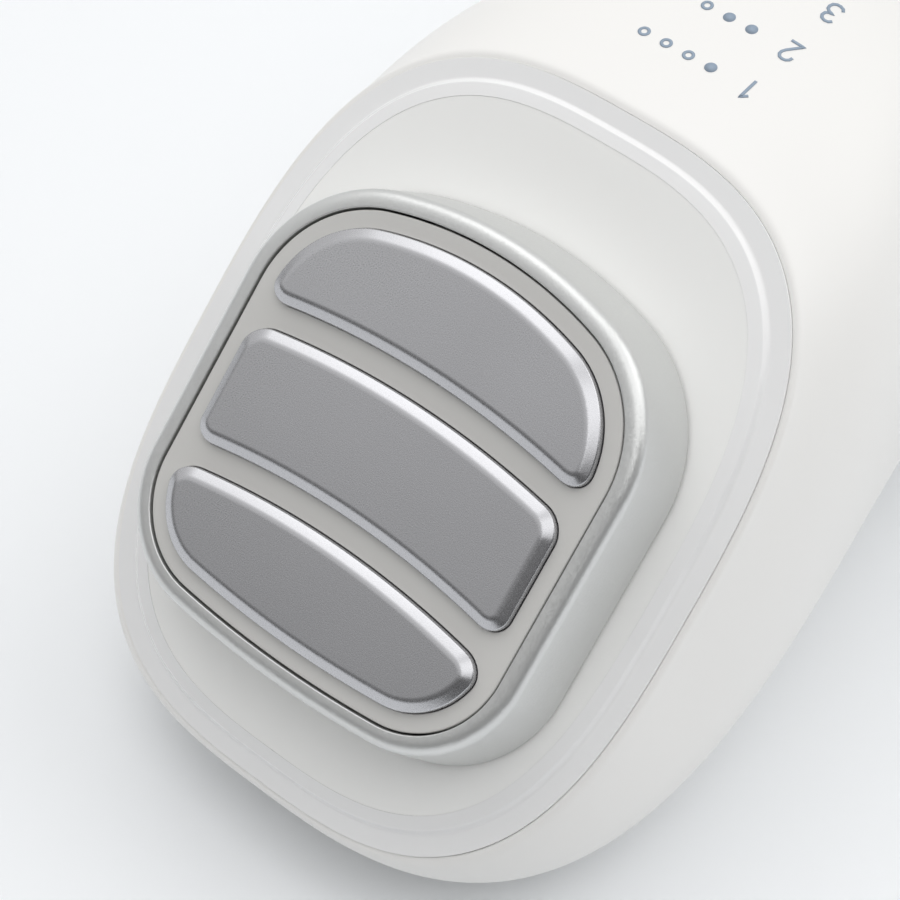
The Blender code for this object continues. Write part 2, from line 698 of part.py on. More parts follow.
def make_tail_plate(device):
    """Plate that closes the tail round the inlet, with a shelf for the charging board."""
    white = look("white_tail", (0.84, 0.835, 0.82), 0.45)
    half = TAIL_HALF_WIDTH - WALL - FIT
    reach = (TAIL_TOP - TAIL_UNDER) / 2.0 - WALL - FIT
    middle = (TAIL_TOP + TAIL_UNDER) / 2.0
    outline = oval(half, reach, reach, HANDLE_POWER, HANDLE_POWER, 32)
    bm = bmesh.new()
    inside = TAIL_END - TAIL_PLATE_THICK
    skin(bm, [[(x, y, middle + v) for x, v in outline] for y in (inside, TAIL_END)], False)
    plate = finish("tail_plate", bm, white, device)
    shelf_top = middle - PLUG_HALF_HEIGHT - FIT - BOARD_THICK - FIT
    shelf_half = CHARGE_BOARD_HALF_WIDTH - OVERCUT
    shelf = block((-shelf_half, inside - SHELF_LENGTH, shelf_top - SHELF_THICK),
                  (shelf_half, inside + TAIL_PLATE_THICK / 2.0, shelf_top))
    carve(plate, [finish("shelf", shelf, white, device)], "UNION")
    slot = plug_stack(FIT, TAIL_END - 2.0 * TAIL_PLATE_THICK, TAIL_END + OVERCUT)
    carve(plate, [finish("slot", slot, white, device)])


# Head

def make_clear_ring(head):
    """Clear ring with a rounded crown and an inner flange under the deck."""
    foot = SEAT_TOP + FIT
    flange = -RING_BAND - RING_FLANGE
    profile = [(flange, foot), (0.0, foot), (0.0, RING_PROUD - RING_ROUND)]
    for step in range(1, 4):
        a = math.pi / 2.0 * step / 3
        profile.append((-RING_ROUND * (1.0 - math.cos(a)), RING_PROUD - RING_ROUND * (1.0 - math.sin(a))))
    for step in range(0, 4):
        a = math.pi / 2.0 * step / 3
        profile.append((-RING_BAND + RING_ROUND * (1.0 - math.sin(a)),
                        RING_PROUD - RING_ROUND * (1.0 - math.cos(a))))
    profile += [(-RING_BAND, foot + RING_FLANGE_THICK), (flange, foot + RING_FLANGE_THICK)]
    clear = look("clear_acrylic", (0.82, 0.85, 0.86), 0.08)
    finish("clear_ring", stack(ring_outline, profile, True), clear, head)


def make_deck(head):
    """White light-passing deck with an opening for the insert's neck."""
    milk = look("milk_white", (0.84, 0.84, 0.83), 0.35)
    edge = -RING_BAND - FIT
    plate = stack(ring_outline, [(edge, DECK_FOOT), (edge, DECK_TOP - FIT), (edge - FIT, DECK_TOP)])
    deck = finish("deck_plate", plate, milk, head)
    hole = FIT - NECK_STEP
    opening = stack(insert_outline, [(hole, DECK_FOOT - OVERCUT), (hole, DECK_TOP + OVERCUT)])
    carve(deck, [finish("opening", opening, milk, head)])


def make_bezel(head):
    """Raised silver frame: flared foot, upright wall and crowned rim."""
    foot = DECK_TOP + FIT
    crown = INSERT_FACE + BEZEL_CROWN
    inner = FIT / 2.0
    profile = [(inner, foot),
               (BEZEL_FOOT, foot),
               (BEZEL_WALL + 0.35 * (BEZEL_FOOT - BEZEL_WALL), foot + BEZEL_FLARE / 3.0),
               (BEZEL_WALL, foot + BEZEL_FLARE),
               (BEZEL_RIM, crown - BEZEL_ROUND)]
    for step in range(1, 5):
        a = math.pi / 2.0 * step / 4
        profile.append((BEZEL_RIM - (BEZEL_RIM - BEZEL_LAND) * (1.0 - math.cos(a)),
                        crown - BEZEL_ROUND * (1.0 - math.sin(a))))
    profile.append((inner, crown - BEZEL_LIP))
    silver = look("silver_paint", (0.62, 0.625, 0.62), 0.32, 0.75)
    finish("bezel", stack(insert_outline, profile, True), silver, head)


def make_seal(head):
    """Rubber seal between the deck and the insert's shoulder."""
    low = DECK_TOP + FIT
    outer = -SEAL_INSET
    inner = FIT - NECK_STEP
    profile = [(inner, low), (outer, low), (outer, low + SEAL_THICK), (inner, low + SEAL_THICK)]
    rubber = look("seal_rubber", (0.12, 0.12, 0.12), 0.8)
    finish("carrier_seal", stack(insert_outline, profile, True), rubber, head)


def make_carrier(head):
    """Grey insert: a cup whose roof holds the contact plates, with screw bosses and holes for the studs."""
    grey = look("grey_insert", (0.56, 0.58, 0.56), 0.45)
    side = -FIT / 2.0
    cup = stack(insert_outline, [(-NECK_STEP, STACK_FOOT), (-NECK_STEP, NECK_SHOULDER), (side, NECK_SHOULDER),
                                 (side, INSERT_FACE)])
    carrier = finish("electrode_carrier", cup, grey, head)
    roof = INSERT_FACE - INSERT_ROOF
    inside = -NECK_STEP - INSERT_WALL
    hollow = stack(insert_outline, [(inside, STACK_FOOT - OVERCUT), (inside, roof)])
    carve(carrier, [finish("hollow", hollow, grey, head)])
    bosses = []
    cuts = []
    for u, v in head_boss_places():
        boss = stack(circle(12), [(HEAD_BOSS_RADIUS, STACK_FOOT),
                                  (HEAD_BOSS_RADIUS, roof + INSERT_ROOF / 3.0)])
        bosses.append(finish("boss", boss, grey, head, (u, v, 0.0)))
        hole = stack(circle(10), [(SCREW_RADIUS + FIT, STACK_FOOT - OVERCUT),
                                  (SCREW_RADIUS + FIT, STACK_FOOT + HEAD_SCREW_GRIP + OVERCUT)])
        cuts.append(finish("screw_hole", hole, grey, head, (u, v, 0.0)))
    carve(carrier, bosses, "UNION")
    for which in PLATES:
        pocket = stack(plate_outline(which), [(FIT, INSERT_FACE - PLATE_POCKET),
                                              (FIT, INSERT_FACE + OVERCUT)])
        cuts.append(finish("pocket", pocket, grey, head))
        hole = stack(circle(12), [(STUD_RADIUS + FIT, roof - OVERCUT), (STUD_RADIUS + FIT, INSERT_FACE)])
        cuts.append(finish("stud_hole", hole, grey, head, (0.0, stud_v(which), 0.0)))
    carve(carrier, cuts)


def make_plates(head):
    """Three satin contact plates with rounded edges, each with a stud that passes through the insert."""
    for which in PLATES:
        steel = look(which + "_contact_steel", (0.44, 0.435, 0.445), 0.36, 1.0)
        foot = INSERT_FACE - PLATE_POCKET + FIT
        top = INSERT_FACE + PLATE_PROUD
        profile = [(0.0, foot), (0.0, top - PLATE_EDGE)]
        for step in range(1, 4):
            a = math.pi / 2.0 * step / 3
            profile.append((-PLATE_EDGE * (1.0 - math.cos(a)), top - PLATE_EDGE * (1.0 - math.sin(a))))
        plate = finish("electrode_" + which, stack(plate_outline(which), profile), steel, head)
        stud = stack(circle(12), [(STUD_RADIUS, STUD_FOOT), (STUD_RADIUS, foot + PLATE_PROUD)])
        carve(plate, [finish("stud", stud, steel, head, (0.0, stud_v(which), 0.0))], "UNION")
        low = STACK_FOOT + BOARD_THICK + FIT
        pin = stack(circle(12), [(PIN_RADIUS, low), (PIN_RADIUS, low + PIN_BODY),
                                 (PIN_TIP_RADIUS, low + PIN_BODY), (PIN_TIP_RADIUS, STUD_FOOT - FIT)])
        finish("contact_pin_" + which, pin, look(which + "_pin_brass", (0.72, 0.56, 0.25), 0.3, 1.0), head,
               (0.0, stud_v(which), 0.0))


def make_head_boards(head):
    """Contact board inside the insert, and the lamp board round its neck with its lamps."""
    inside = NECK_STEP + INSERT_WALL
    ends = []
    for arc in (INSERT_LOW_ARC - inside, INSERT_TOP_ARC - inside):
        bow = arc - math.sqrt(arc * arc - HEAD_BOARD_HALF_WIDTH ** 2)
        ends.append(INSERT_HALF_HEIGHT - inside - bow - FIT)
    lamp_top = STACK_FOOT + BOARD_THICK
    board = block((-HEAD_BOARD_HALF_WIDTH, -ends[0], STACK_FOOT), (HEAD_BOARD_HALF_WIDTH, ends[1], lamp_top))
    finish("head_board", board, look("head_laminate", (0.05, 0.22, 0.12), 0.5), head)
    white = look("lamp_laminate", (0.8, 0.8, 0.78), 0.5)
    edge = -SEAT_REACH - FIT
    lamps = finish("light_board", stack(ring_outline, [(edge, STACK_FOOT), (edge, lamp_top)]), white, head)
    hole = FIT - NECK_STEP
    opening = stack(insert_outline, [(hole, STACK_FOOT - OVERCUT), (hole, lamp_top + OVERCUT)])
    carve(lamps, [finish("opening", opening, white, head)])
    out = (RING_HALF_WIDTH - SEAT_REACH + INSERT_HALF_WIDTH - NECK_STEP) / 2.0
    high = (RING_WIDEST + RING_UPPER - SEAT_REACH + INSERT_HALF_HEIGHT - NECK_STEP) / 2.0
    low = (RING_WIDEST - RING_LOWER + SEAT_REACH - INSERT_HALF_HEIGHT + NECK_STEP) / 2.0
    places = [(0.0, high), (out, high / 3.0), (out, low / 3.0),
              (0.0, low), (-out, low / 3.0), (-out, high / 3.0)]
    for k, (u, v) in enumerate(places):
        lamp = block((u - LED_SIZE / 2.0, v - LED_SIZE / 2.0, lamp_top + FIT),
                     (u + LED_SIZE / 2.0, v + LED_SIZE / 2.0, lamp_top + FIT + LED_THICK))
        finish(f"ring_led_{k + 1}", lamp, look(f"lamp_lens_{k + 1}", (0.9, 0.8, 0.45), 0.3), head)


def make_retainer(head):
    """Plate behind the head that clamps the insert to the seat, with its screws."""
    grey = look("retainer_plastic", (0.3, 0.3, 0.31), 0.55)
    plate = stack(ring_outline, [(-RETAINER_INSET, RETAINER_FOOT), (-RETAINER_INSET, RETAINER_TOP)])
    retainer = finish("head_retainer", plate, grey, head)
    low = RETAINER_FOOT - OVERCUT
    high = RETAINER_TOP + OVERCUT
    cuts = []
    for k, (u, v) in enumerate(head_boss_places()):
        hole = stack(circle(10), [(SCREW_RADIUS + FIT, low), (SCREW_RADIUS + FIT, high)])
        cuts.append(finish("screw_hole", hole, grey, head, (u, v, 0.0)))
        grip = RETAINER_THICK + 2.0 * FIT + HEAD_SCREW_GRIP
        screw("head_screw", k, head, (u, v, RETAINER_FOOT - FIT), grip)
    half_width = RIBBON_HALF_WIDTH + SLOT_MARGIN
    half_thick = RIBBON_THICK / 2.0 + SLOT_MARGIN
    slot = block((-half_width, RIBBON_V - half_thick, low), (half_width, RIBBON_V + half_thick, high))
    cuts.append(finish("slot", slot, grey, head))
    carve(retainer, cuts)


def screw(name, index, parent, place, grip):
    """A pan-head screw that stands on its head, with its shank upwards."""
    profile = [(SCREW_HEAD_RADIUS * 0.8, -SCREW_HEAD_THICK), (SCREW_HEAD_RADIUS, -SCREW_HEAD_THICK * 0.6),
               (SCREW_HEAD_RADIUS, 0.0), (SCREW_RADIUS, 0.0), (SCREW_RADIUS, grip)]
    steel = look(f"{name}_steel_{index + 1}", (0.5, 0.5, 0.5), 0.35, 1.0)
    finish(f"{name}_{index + 1}", stack(circle(8), profile), steel, parent, place)


# Handle

def make_chassis(device):
    """Inner frame: a plate with pillars for the key board, posts for the rear cover and motor cheeks."""
    black = look("chassis_plastic", (0.1, 0.1, 0.105), 0.6)
    foot = CHASSIS_TOP - CHASSIS_THICK
    root = CHASSIS_THICK / 2.0
    plate = block((-CHASSIS_HALF_WIDTH, CHASSIS_START, foot), (CHASSIS_HALF_WIDTH, CHASSIS_END, CHASSIS_TOP))
    chassis = finish("chassis", plate, black, device)
    joined = []
    cuts = []
    pillar_top = KEY_BOARD_TOP - BOARD_THICK - FIT
    key_board_end = KEY_BOARD_START + KEY_BOARD_LENGTH
    for y in (KEY_BOARD_START + PILLAR_SIZE, key_board_end - PILLAR_SIZE):
        for x in (-PILLAR_X, PILLAR_X):
            pillar = block((x - PILLAR_SIZE / 2.0, y - PILLAR_SIZE / 2.0, CHASSIS_TOP - root),
                           (x + PILLAR_SIZE / 2.0, y + PILLAR_SIZE / 2.0, pillar_top))
            joined.append(finish("pillar", pillar, black, device))
    for x, y in cover_post_places():
        post = stack(circle(12), [(BOSS_RADIUS, POST_FOOT), (BOSS_RADIUS, foot + root)])
        joined.append(finish("post", post, black, device, (x, y, 0.0)))
        hole = stack(circle(10), [(SCREW_RADIUS + FIT, POST_FOOT - OVERCUT),
                                  (SCREW_RADIUS + FIT, POST_FOOT + CHASSIS_SCREW_GRIP)])
        cuts.append(finish("screw_hole", hole, black, device, (x, y, 0.0)))
    reach = MOTOR_RADIUS + FIT
    for side in (-1.0, 1.0):
        inner = MOTOR_Y + side * reach
        outer = inner + side * CHEEK_THICK
        cheek = block((MOTOR_LEFT + OVERCUT, min(inner, outer), MOTOR_Z - MOTOR_RADIUS / 2.0),
                      (MOTOR_LEFT + MOTOR_LENGTH - OVERCUT, max(inner, outer), foot + root))
        joined.append(finish("cheek", cheek, black, device))
    carve(chassis, joined, "UNION")
    for x, y in chassis_boss_places():
        hole = stack(circle(10), [(SCREW_RADIUS + FIT, foot - OVERCUT),
                                  (SCREW_RADIUS + FIT, CHASSIS_TOP + OVERCUT)])
        cuts.append(finish("screw_hole", hole, black, device, (x, y, 0.0)))
    carve(chassis, cuts)
    for k, (x, y) in enumerate(chassis_boss_places()):
        grip = CHASSIS_THICK + 2.0 * FIT + CHASSIS_SCREW_GRIP
        screw("chassis_screw", k, device, (x, y, foot - FIT), grip)
    for k, (x, y) in enumerate(cover_post_places()):
        seat = under_at(x, y, 0.0) + COVER_HEAD_DEPTH + SCREW_HEAD_THICK
        screw("cover_screw", k, device, (x, y, seat), POST_FOOT + CHASSIS_SCREW_GRIP - FIT - seat)


def make_electronics(device):
    """Main board with its chip and coil, the battery on its pad, and the flat cable to the head."""
    low = CHASSIS_TOP + FIT
    top = low + BOARD_THICK
    end = MAIN_BOARD_START + MAIN_BOARD_LENGTH
    board = block((-MAIN_BOARD_HALF_WIDTH, MAIN_BOARD_START, low), (MAIN_BOARD_HALF_WIDTH, end, top))
    finish("main_board", board, look("main_laminate", (0.05, 0.22, 0.12), 0.5), device)
    reach = CHIP_SIZE / 2.0
    chip = block((-reach, CHIP_Y - reach, top + FIT), (reach, CHIP_Y + reach, top + FIT + CHIP_THICK))
    finish("control_chip", chip, look("chip_epoxy", (0.03, 0.03, 0.03), 0.5), device)
    coil = stack(circle(16), [(COIL_RADIUS, top + FIT), (COIL_RADIUS, top + FIT + COIL_HEIGHT)])
    finish("converter_coil", coil, look("coil_ferrite", (0.15, 0.14, 0.14), 0.6), device, (0.0, COIL_Y, 0.0))
    pad_top = CHASSIS_TOP - CHASSIS_THICK - FIT
    battery_end = BATTERY_START + BATTERY_LENGTH
    pad = block((-BATTERY_HALF_WIDTH, BATTERY_START, pad_top - PAD_THICK),
                (BATTERY_HALF_WIDTH, battery_end, pad_top))
    finish("battery_pad", pad, look("pad_foam", (0.2, 0.2, 0.2), 0.9), device)
    cell = block((-BATTERY_HALF_WIDTH, BATTERY_START, BATTERY_TOP - BATTERY_THICK),
                 (BATTERY_HALF_WIDTH, battery_end, BATTERY_TOP))
    bmesh.ops.bevel(cell, geom=cell.edges[:], offset=BATTERY_ROUND, segments=2, affect="EDGES", profile=0.5)
    finish("battery_pack", cell, look("battery_wrap", (0.12, 0.25, 0.5), 0.4), device)
    make_ribbon(device, top)


def make_ribbon(device, board_top):
    """Flat cable from the contact board, through the retainer, to the main board."""
    start = on_face(RIBBON_V, STACK_FOOT - FIT)
    leave = on_face(RIBBON_V, RETAINER_FOOT - RIBBON_DROP)
    pull = on_face(RIBBON_V, RETAINER_FOOT - 3.0 * RIBBON_DROP)
    lie = board_top + FIT + RIBBON_THICK / 2.0
    path = [start]
    for step in range(11):
        t = step / 10
        path.append((bezier(leave[0], pull[0], MAIN_BOARD_START - RIBBON_RUN, MAIN_BOARD_START, t),
                     bezier(leave[1], pull[1], lie, lie, t)))
    path.append((MAIN_BOARD_START + RIBBON_LAP, lie))
    strip = side_strip(path, RIBBON_HALF_WIDTH, RIBBON_THICK)
    finish("ribbon_cable", strip, look("ribbon_film", (0.75, 0.45, 0.12), 0.4), device)


def make_controls(device):
    """Three buttons that press in along the skin's normal, their switches and board, and the level light."""
    low = KEY_BOARD_TOP - BOARD_THICK
    board = block((-KEY_BOARD_HALF_WIDTH, KEY_BOARD_START, low),
                  (KEY_BOARD_HALF_WIDTH, KEY_BOARD_START + KEY_BOARD_LENGTH, KEY_BOARD_TOP))
    finish("key_board", board, look("key_laminate", (0.05, 0.22, 0.12), 0.5), device)
    buttons = (("mode", MODE_HALF, MODE_Y), ("level", LEVEL_HALF, LEVEL_Y), ("power", POWER_HALF, POWER_Y))
    for name, half, y in buttons:
        top = top_at(0.0, y, 0.0)
        pitch = top_pitch(y)
        switch_top = KEY_BOARD_TOP + FIT + SWITCH_THICK
        stem_foot = (switch_top + FIT + BUTTON_TRAVEL - top) / math.cos(pitch)
        flange_top = top_at(half[0] + BUTTON_FLANGE, y, WALL) - top - FIT - BUTTON_DROP
        flange_foot = flange_top - BUTTON_FLANGE_THICK
        stem = STEM_RADIUS - half[1]
        profile = [(stem, stem_foot), (stem, flange_foot),
                   (BUTTON_FLANGE, flange_foot), (BUTTON_FLANGE, flange_top),
                   (0.0, flange_top), (0.0, BUTTON_PROUD * 0.3),
                   (-BUTTON_EDGE, BUTTON_PROUD * 0.8), (-BUTTON_CROWN, BUTTON_PROUD)]
        silver = look(name + "_button_silver", (0.66, 0.66, 0.65), 0.35, 0.6)
        cap = finish(name + "_button", stack(button_outline(half), profile), silver, device,
                     (0.0, y, top), (pitch, 0.0, 0.0))
        cap.data.set_sharp_from_angle(angle=math.radians(50.0))
        reach = SWITCH_SIZE / 2.0
        switch = block((-reach, y - reach, KEY_BOARD_TOP + FIT), (reach, y + reach, switch_top))
        finish(name + "_switch", switch, look(name + "_switch_black", (0.06, 0.06, 0.06), 0.5), device)
    top = top_at(0.0, LENS_Y, 0.0)
    pitch = top_pitch(LENS_Y)
    foot = KEY_BOARD_TOP + FIT + LENS_HALF[1] * abs(math.sin(pitch)) - top
    lens = stack(button_outline(LENS_HALF), [(0.0, foot / math.cos(pitch)), (0.0, -FIT), (-FIT, 0.0)])
    clear = look("lens_acrylic", (0.85, 0.87, 0.88), 0.15)
    finish("level_lens", lens, clear, device, (0.0, LENS_Y, top), (pitch, 0.0, 0.0))


def make_motor(device):
    """Vibration motor under the chassis: its can, its shaft and the half-round weight that hangs on it."""
    right = MOTOR_LEFT + MOTOR_LENGTH
    across = (0.0, math.pi / 2.0, 0.0)
    end_radius = MOTOR_RADIUS - MOTOR_CHAMFER
    can = stack(circle(16), [(end_radius, 0.0), (MOTOR_RADIUS, MOTOR_CHAMFER),
                             (MOTOR_RADIUS, MOTOR_LENGTH - MOTOR_CHAMFER), (end_radius, MOTOR_LENGTH)])
    steel = look("motor_steel", (0.55, 0.55, 0.55), 0.35, 1.0)
    finish("motor_can", can, steel, device, (MOTOR_LEFT, MOTOR_Y, MOTOR_Z), across)
    shaft = stack(circle(10), [(SHAFT_RADIUS, FIT), (SHAFT_RADIUS, SHAFT_LENGTH)])
    place = (right, MOTOR_Y, MOTOR_Z)
    finish("motor_shaft", shaft, look("shaft_steel", (0.6, 0.6, 0.6), 0.25, 1.0), device, place, across)
    tungsten = look("weight_tungsten", (0.35, 0.34, 0.33), 0.4, 1.0)
    start = SHAFT_LENGTH - WEIGHT_THICK - FIT

    def half_round(grow):
        turns = [math.pi * (k / 12 - 0.5) for k in range(13)]
        points = [((WEIGHT_RADIUS + grow) * math.cos(a), (WEIGHT_RADIUS + grow) * math.sin(a)) for a in turns]
        return points + [(-WEIGHT_HUB - grow, WEIGHT_HUB), (-WEIGHT_HUB - grow, -WEIGHT_HUB)]
    lump = stack(half_round, [(0.0, start), (0.0, start + WEIGHT_THICK)])
    weight = finish("eccentric_weight", lump, tungsten, device, place, across)
    hole = stack(circle(10), [(SHAFT_RADIUS + FIT, start - OVERCUT),
                              (SHAFT_RADIUS + FIT, start + WEIGHT_THICK + OVERCUT)])
    carve(weight, [finish("hole", hole, tungsten, device, place, across)])


def plug_stack(grow, start, end):
    """A rounded bar with the inlet's outline, along the device."""
    middle = (TAIL_TOP + TAIL_UNDER) / 2.0
    outline = []
    straight = PLUG_HALF_WIDTH - PLUG_HALF_HEIGHT
    for side in (1.0, -1.0):
        for step in range(7):
            a = math.pi * (step / 6 - 0.5)
            reach = PLUG_HALF_HEIGHT + grow
            outline.append((side * (straight + reach * math.cos(a)), side * reach * math.sin(a)))
    bm = bmesh.new()
    skin(bm, [[(x, y, middle + v) for x, v in outline] for y in (start, end)], False)
    return bm


def make_inlet(device):
    """Charging socket in the tail plate, with its tongue, on a small board."""
    steel = look("socket_steel", (0.6, 0.6, 0.6), 0.3, 1.0)
    middle = (TAIL_TOP + TAIL_UNDER) / 2.0
    mouth = TAIL_END - FIT
    socket = finish("charge_socket", plug_stack(0.0, mouth - SOCKET_LENGTH, mouth), steel, device)
    hollow = plug_stack(-SOCKET_WALL, mouth - SOCKET_LENGTH + OVERCUT, mouth + OVERCUT)
    carve(socket, [finish("hollow", hollow, steel, device)])
    tongue = block((-TONGUE_HALF_WIDTH, mouth - SOCKET_LENGTH + OVERCUT / 2.0, middle - TONGUE_THICK / 2.0),
                   (TONGUE_HALF_WIDTH, mouth - 2.0 * OVERCUT, middle + TONGUE_THICK / 2.0))
    carve(socket, [finish("tongue", tongue, steel, device)], "UNION")
    top = middle - PLUG_HALF_HEIGHT - FIT
    inside = TAIL_END - TAIL_PLATE_THICK - FIT
    board = block((-CHARGE_BOARD_HALF_WIDTH, inside - SHELF_LENGTH, top - BOARD_THICK),
                  (CHARGE_BOARD_HALF_WIDTH, inside, top))
    finish("charge_board", board, look("charge_laminate", (0.05, 0.22, 0.12), 0.5), device)


def main():
    for old in list(bpy.data.objects):
        bpy.data.objects.remove(old)
    device = empty("device", None, (0.0, -body_middle(), 0.0))
    head = empty("head", device, (0.0, 0.0, FACE_HEIGHT), (FACE_TILT, 0.0, 0.0))
    make_front_shell(device)
    make_rear_cover(device)
    make_tail_plate(device)
    make_clear_ring(head)
    make_deck(head)
    make_bezel(head)
    make_seal(head)
    make_carrier(head)
    make_plates(head)
    make_head_boards(head)
    make_retainer(head)
    make_chassis(device)
    make_electronics(device)
    make_controls(device)
    make_motor(device)
    make_inlet(device)
    print("device origin y", device.location.y)


main()
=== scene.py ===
# %% [markdown]
# # A handheld facial scrubber, dressed for a studio picture
# The frame holds every solid of the device at its real size, in metres: the table is at z = 0, the tip of the head
# points to -Y and the handle runs to +Y. This lesson makes the skins that the eye meets again with many more points,
# from the same few sizes, gives each of them a finish, and sets the light and the camera.

# %% Load the frame
import json
import math

import bmesh
import bpy
from mathutils import Matrix, Vector


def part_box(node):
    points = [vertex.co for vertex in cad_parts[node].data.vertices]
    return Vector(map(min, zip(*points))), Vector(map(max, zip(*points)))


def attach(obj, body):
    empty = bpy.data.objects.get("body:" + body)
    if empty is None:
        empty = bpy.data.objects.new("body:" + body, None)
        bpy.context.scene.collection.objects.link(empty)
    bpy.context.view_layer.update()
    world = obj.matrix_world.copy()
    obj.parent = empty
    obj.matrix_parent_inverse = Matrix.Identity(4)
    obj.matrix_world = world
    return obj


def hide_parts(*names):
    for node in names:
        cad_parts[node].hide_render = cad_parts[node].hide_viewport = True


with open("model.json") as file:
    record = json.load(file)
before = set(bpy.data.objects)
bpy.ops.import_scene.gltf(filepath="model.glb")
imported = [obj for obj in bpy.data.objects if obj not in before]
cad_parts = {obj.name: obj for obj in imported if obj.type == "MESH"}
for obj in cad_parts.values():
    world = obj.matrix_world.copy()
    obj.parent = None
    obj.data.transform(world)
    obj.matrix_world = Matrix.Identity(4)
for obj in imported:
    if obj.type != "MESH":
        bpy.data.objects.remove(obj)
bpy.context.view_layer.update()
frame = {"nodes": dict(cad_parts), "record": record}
MM = 0.001

# %% [markdown]
# ## The slanted face
# The head's pieces are stacked on one slanted plane: u runs across, v towards the handle, h out of the face. One
# function carries a point of that plane to its place on the device, so each piece is drawn flat, as on a drawing
# board. The handle's own origin follows from the tail, the only place where the frame is measured.

# %% The face plane
FACE_TILT = math.radians(43.0)
FACE_HEIGHT = 27.6 * MM
TAIL_END = 164.0 * MM
DEVICE_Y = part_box("tail_plate")[1].y - TAIL_END


def on_face(u, v, h):
    """A point of the face plane, carried to its place on the device."""
    y = DEVICE_Y + v * math.cos(FACE_TILT) - h * math.sin(FACE_TILT)
    z = FACE_HEIGHT + v * math.sin(FACE_TILT) + h * math.cos(FACE_TILT)
    return Vector((u, y, z))


FACE_MIDDLE = on_face(0.0, 0.0, 0.0)
print("middle of the face", [round(c / MM, 2) for c in FACE_MIDDLE])

# %% [markdown]
# ## The camera
# A long lens stands close to the head, to the right of its tip and well above it. A camera looks along its own -Z, so
# its three axes are written as the columns of a matrix. The shift puts the head a little left of the middle.

# %% Camera
VIEW_TURN = math.radians(40.62)
VIEW_RISE = math.radians(49.49)
VIEW_ROLL = math.radians(0.16)
LENS = 115.79
SENSOR = 36.0
VIEW_DISTANCE = 219.2 * MM
VIEW_SHIFT = (0.0214, 0.0206)

backward = Vector((math.sin(VIEW_TURN) * math.cos(VIEW_RISE), -math.cos(VIEW_TURN) * math.cos(VIEW_RISE),
                   math.sin(VIEW_RISE)))
level = Vector((math.cos(VIEW_TURN), math.sin(VIEW_TURN), 0.0))
above = backward.cross(level)
right = level * math.cos(VIEW_ROLL) + above * math.sin(VIEW_ROLL)
upward = above * math.cos(VIEW_ROLL) - level * math.sin(VIEW_ROLL)
camera = bpy.data.objects.new("camera", bpy.data.cameras.new("camera"))
bpy.context.scene.collection.objects.link(camera)
stand = Matrix((right, upward, backward)).transposed().to_4x4()
stand.translation = FACE_MIDDLE + backward * VIEW_DISTANCE
camera.matrix_world = stand
camera.data.lens = LENS
camera.data.sensor_width = SENSOR
camera.data.shift_x, camera.data.shift_y = VIEW_SHIFT
camera.data.clip_start = MM
bpy.context.scene.camera = camera
print("camera at", [round(c / MM) for c in stand.translation])

# %% [markdown]
# ## Colours and nodes
# Colours are written as they look on a screen. Shaders work in linear light, so one function converts them. A second
# one adds a node to a tree with its settings, its values and its links, and every tree below is built with it.

# %% Two helpers for node trees
def linear(hex_colour):
    """A screen colour such as #EEEDEB as linear red, green, blue and alpha."""
    shares = [int(hex_colour[k:k + 2], 16) / 255.0 for k in (1, 3, 5)]
    return tuple(((c + 0.055) / 1.055) ** 2.4 if c > 0.04045 else c / 12.92 for c in shares) + (1.0,)


def add(tree, kind, inputs=None, **settings):
    """Adds a node. An input is a value, a socket to link, or a node whose first output is linked."""
    node = tree.nodes.new(kind)
    for name, value in settings.items():
        setattr(node, name, value)
    for key, value in (inputs or {}).items():
        if isinstance(value, bpy.types.Node):
            tree.links.new(value.outputs[0], node.inputs[key])
        elif isinstance(value, bpy.types.NodeSocket):
            tree.links.new(value, node.inputs[key])
        else:
            node.inputs[key].default_value = value
    return node


print("white in linear light", [round(c, 3) for c in linear("#EEEDEB")])

# %% [markdown]
# ## Soft studio light
# The picture is made on a white table under one very large soft light, which hangs above and a little behind the
# device, to its left. Satin metal shows everything round it, so the light is drawn into the world as a bright round
# zone with a soft edge, and the room under it falls off to a dark grey. A weaker softbox on the right, behind the
# handle, keeps the shaded side open.

# %% World and lamps
KEY_WAY = Vector((-0.38, 0.22, 0.90)).normalized()
ROOM_LEVELS = ((0.0, 2.0), (14.0, 1.9), (28.0, 0.95), (45.0, 0.74), (57.0, 0.79), (65.0, 0.39), (72.0, 0.25), (85.0, 0.16),
               (120.0, 0.08))
SOFTBOXES = {"fill_softbox": (Vector((0.60, 0.50, 0.71)), (1.1, 1.1), 4.4),
             "front_softbox": (Vector((0.35, -0.35, 0.87)), (0.7, 0.7), 1.3)}

bpy.context.scene.view_settings.view_transform = "Standard"
world = bpy.data.worlds.new("studio_room")
world.use_nodes = True
bpy.context.scene.world = world
room = world.node_tree
room.nodes.clear()
toward = add(room, "ShaderNodeTexCoord").outputs["Generated"]
near_key = add(room, "ShaderNodeVectorMath", {0: toward, 1: KEY_WAY}, operation="DOT_PRODUCT")
angle = add(room, "ShaderNodeMath", {0: near_key.outputs["Value"]}, operation="ARCCOSINE")
share = add(room, "ShaderNodeMath", {0: angle, 1: math.pi}, operation="DIVIDE")
sky = add(room, "ShaderNodeValToRGB", {"Fac": share})
stops = sky.color_ramp.elements
brightest = ROOM_LEVELS[0][1]
for degrees, level in ROOM_LEVELS[1:-1]:
    stops.new(degrees / 180.0)
for stop, (degrees, level) in zip(stops, ROOM_LEVELS):
    stop.position = degrees / 180.0
    stop.color = (level / brightest, level / brightest, level / brightest, 1.0)
glow = add(room, "ShaderNodeBackground", {"Color": sky, "Strength": brightest})
add(room, "ShaderNodeOutputWorld", {"Surface": glow})

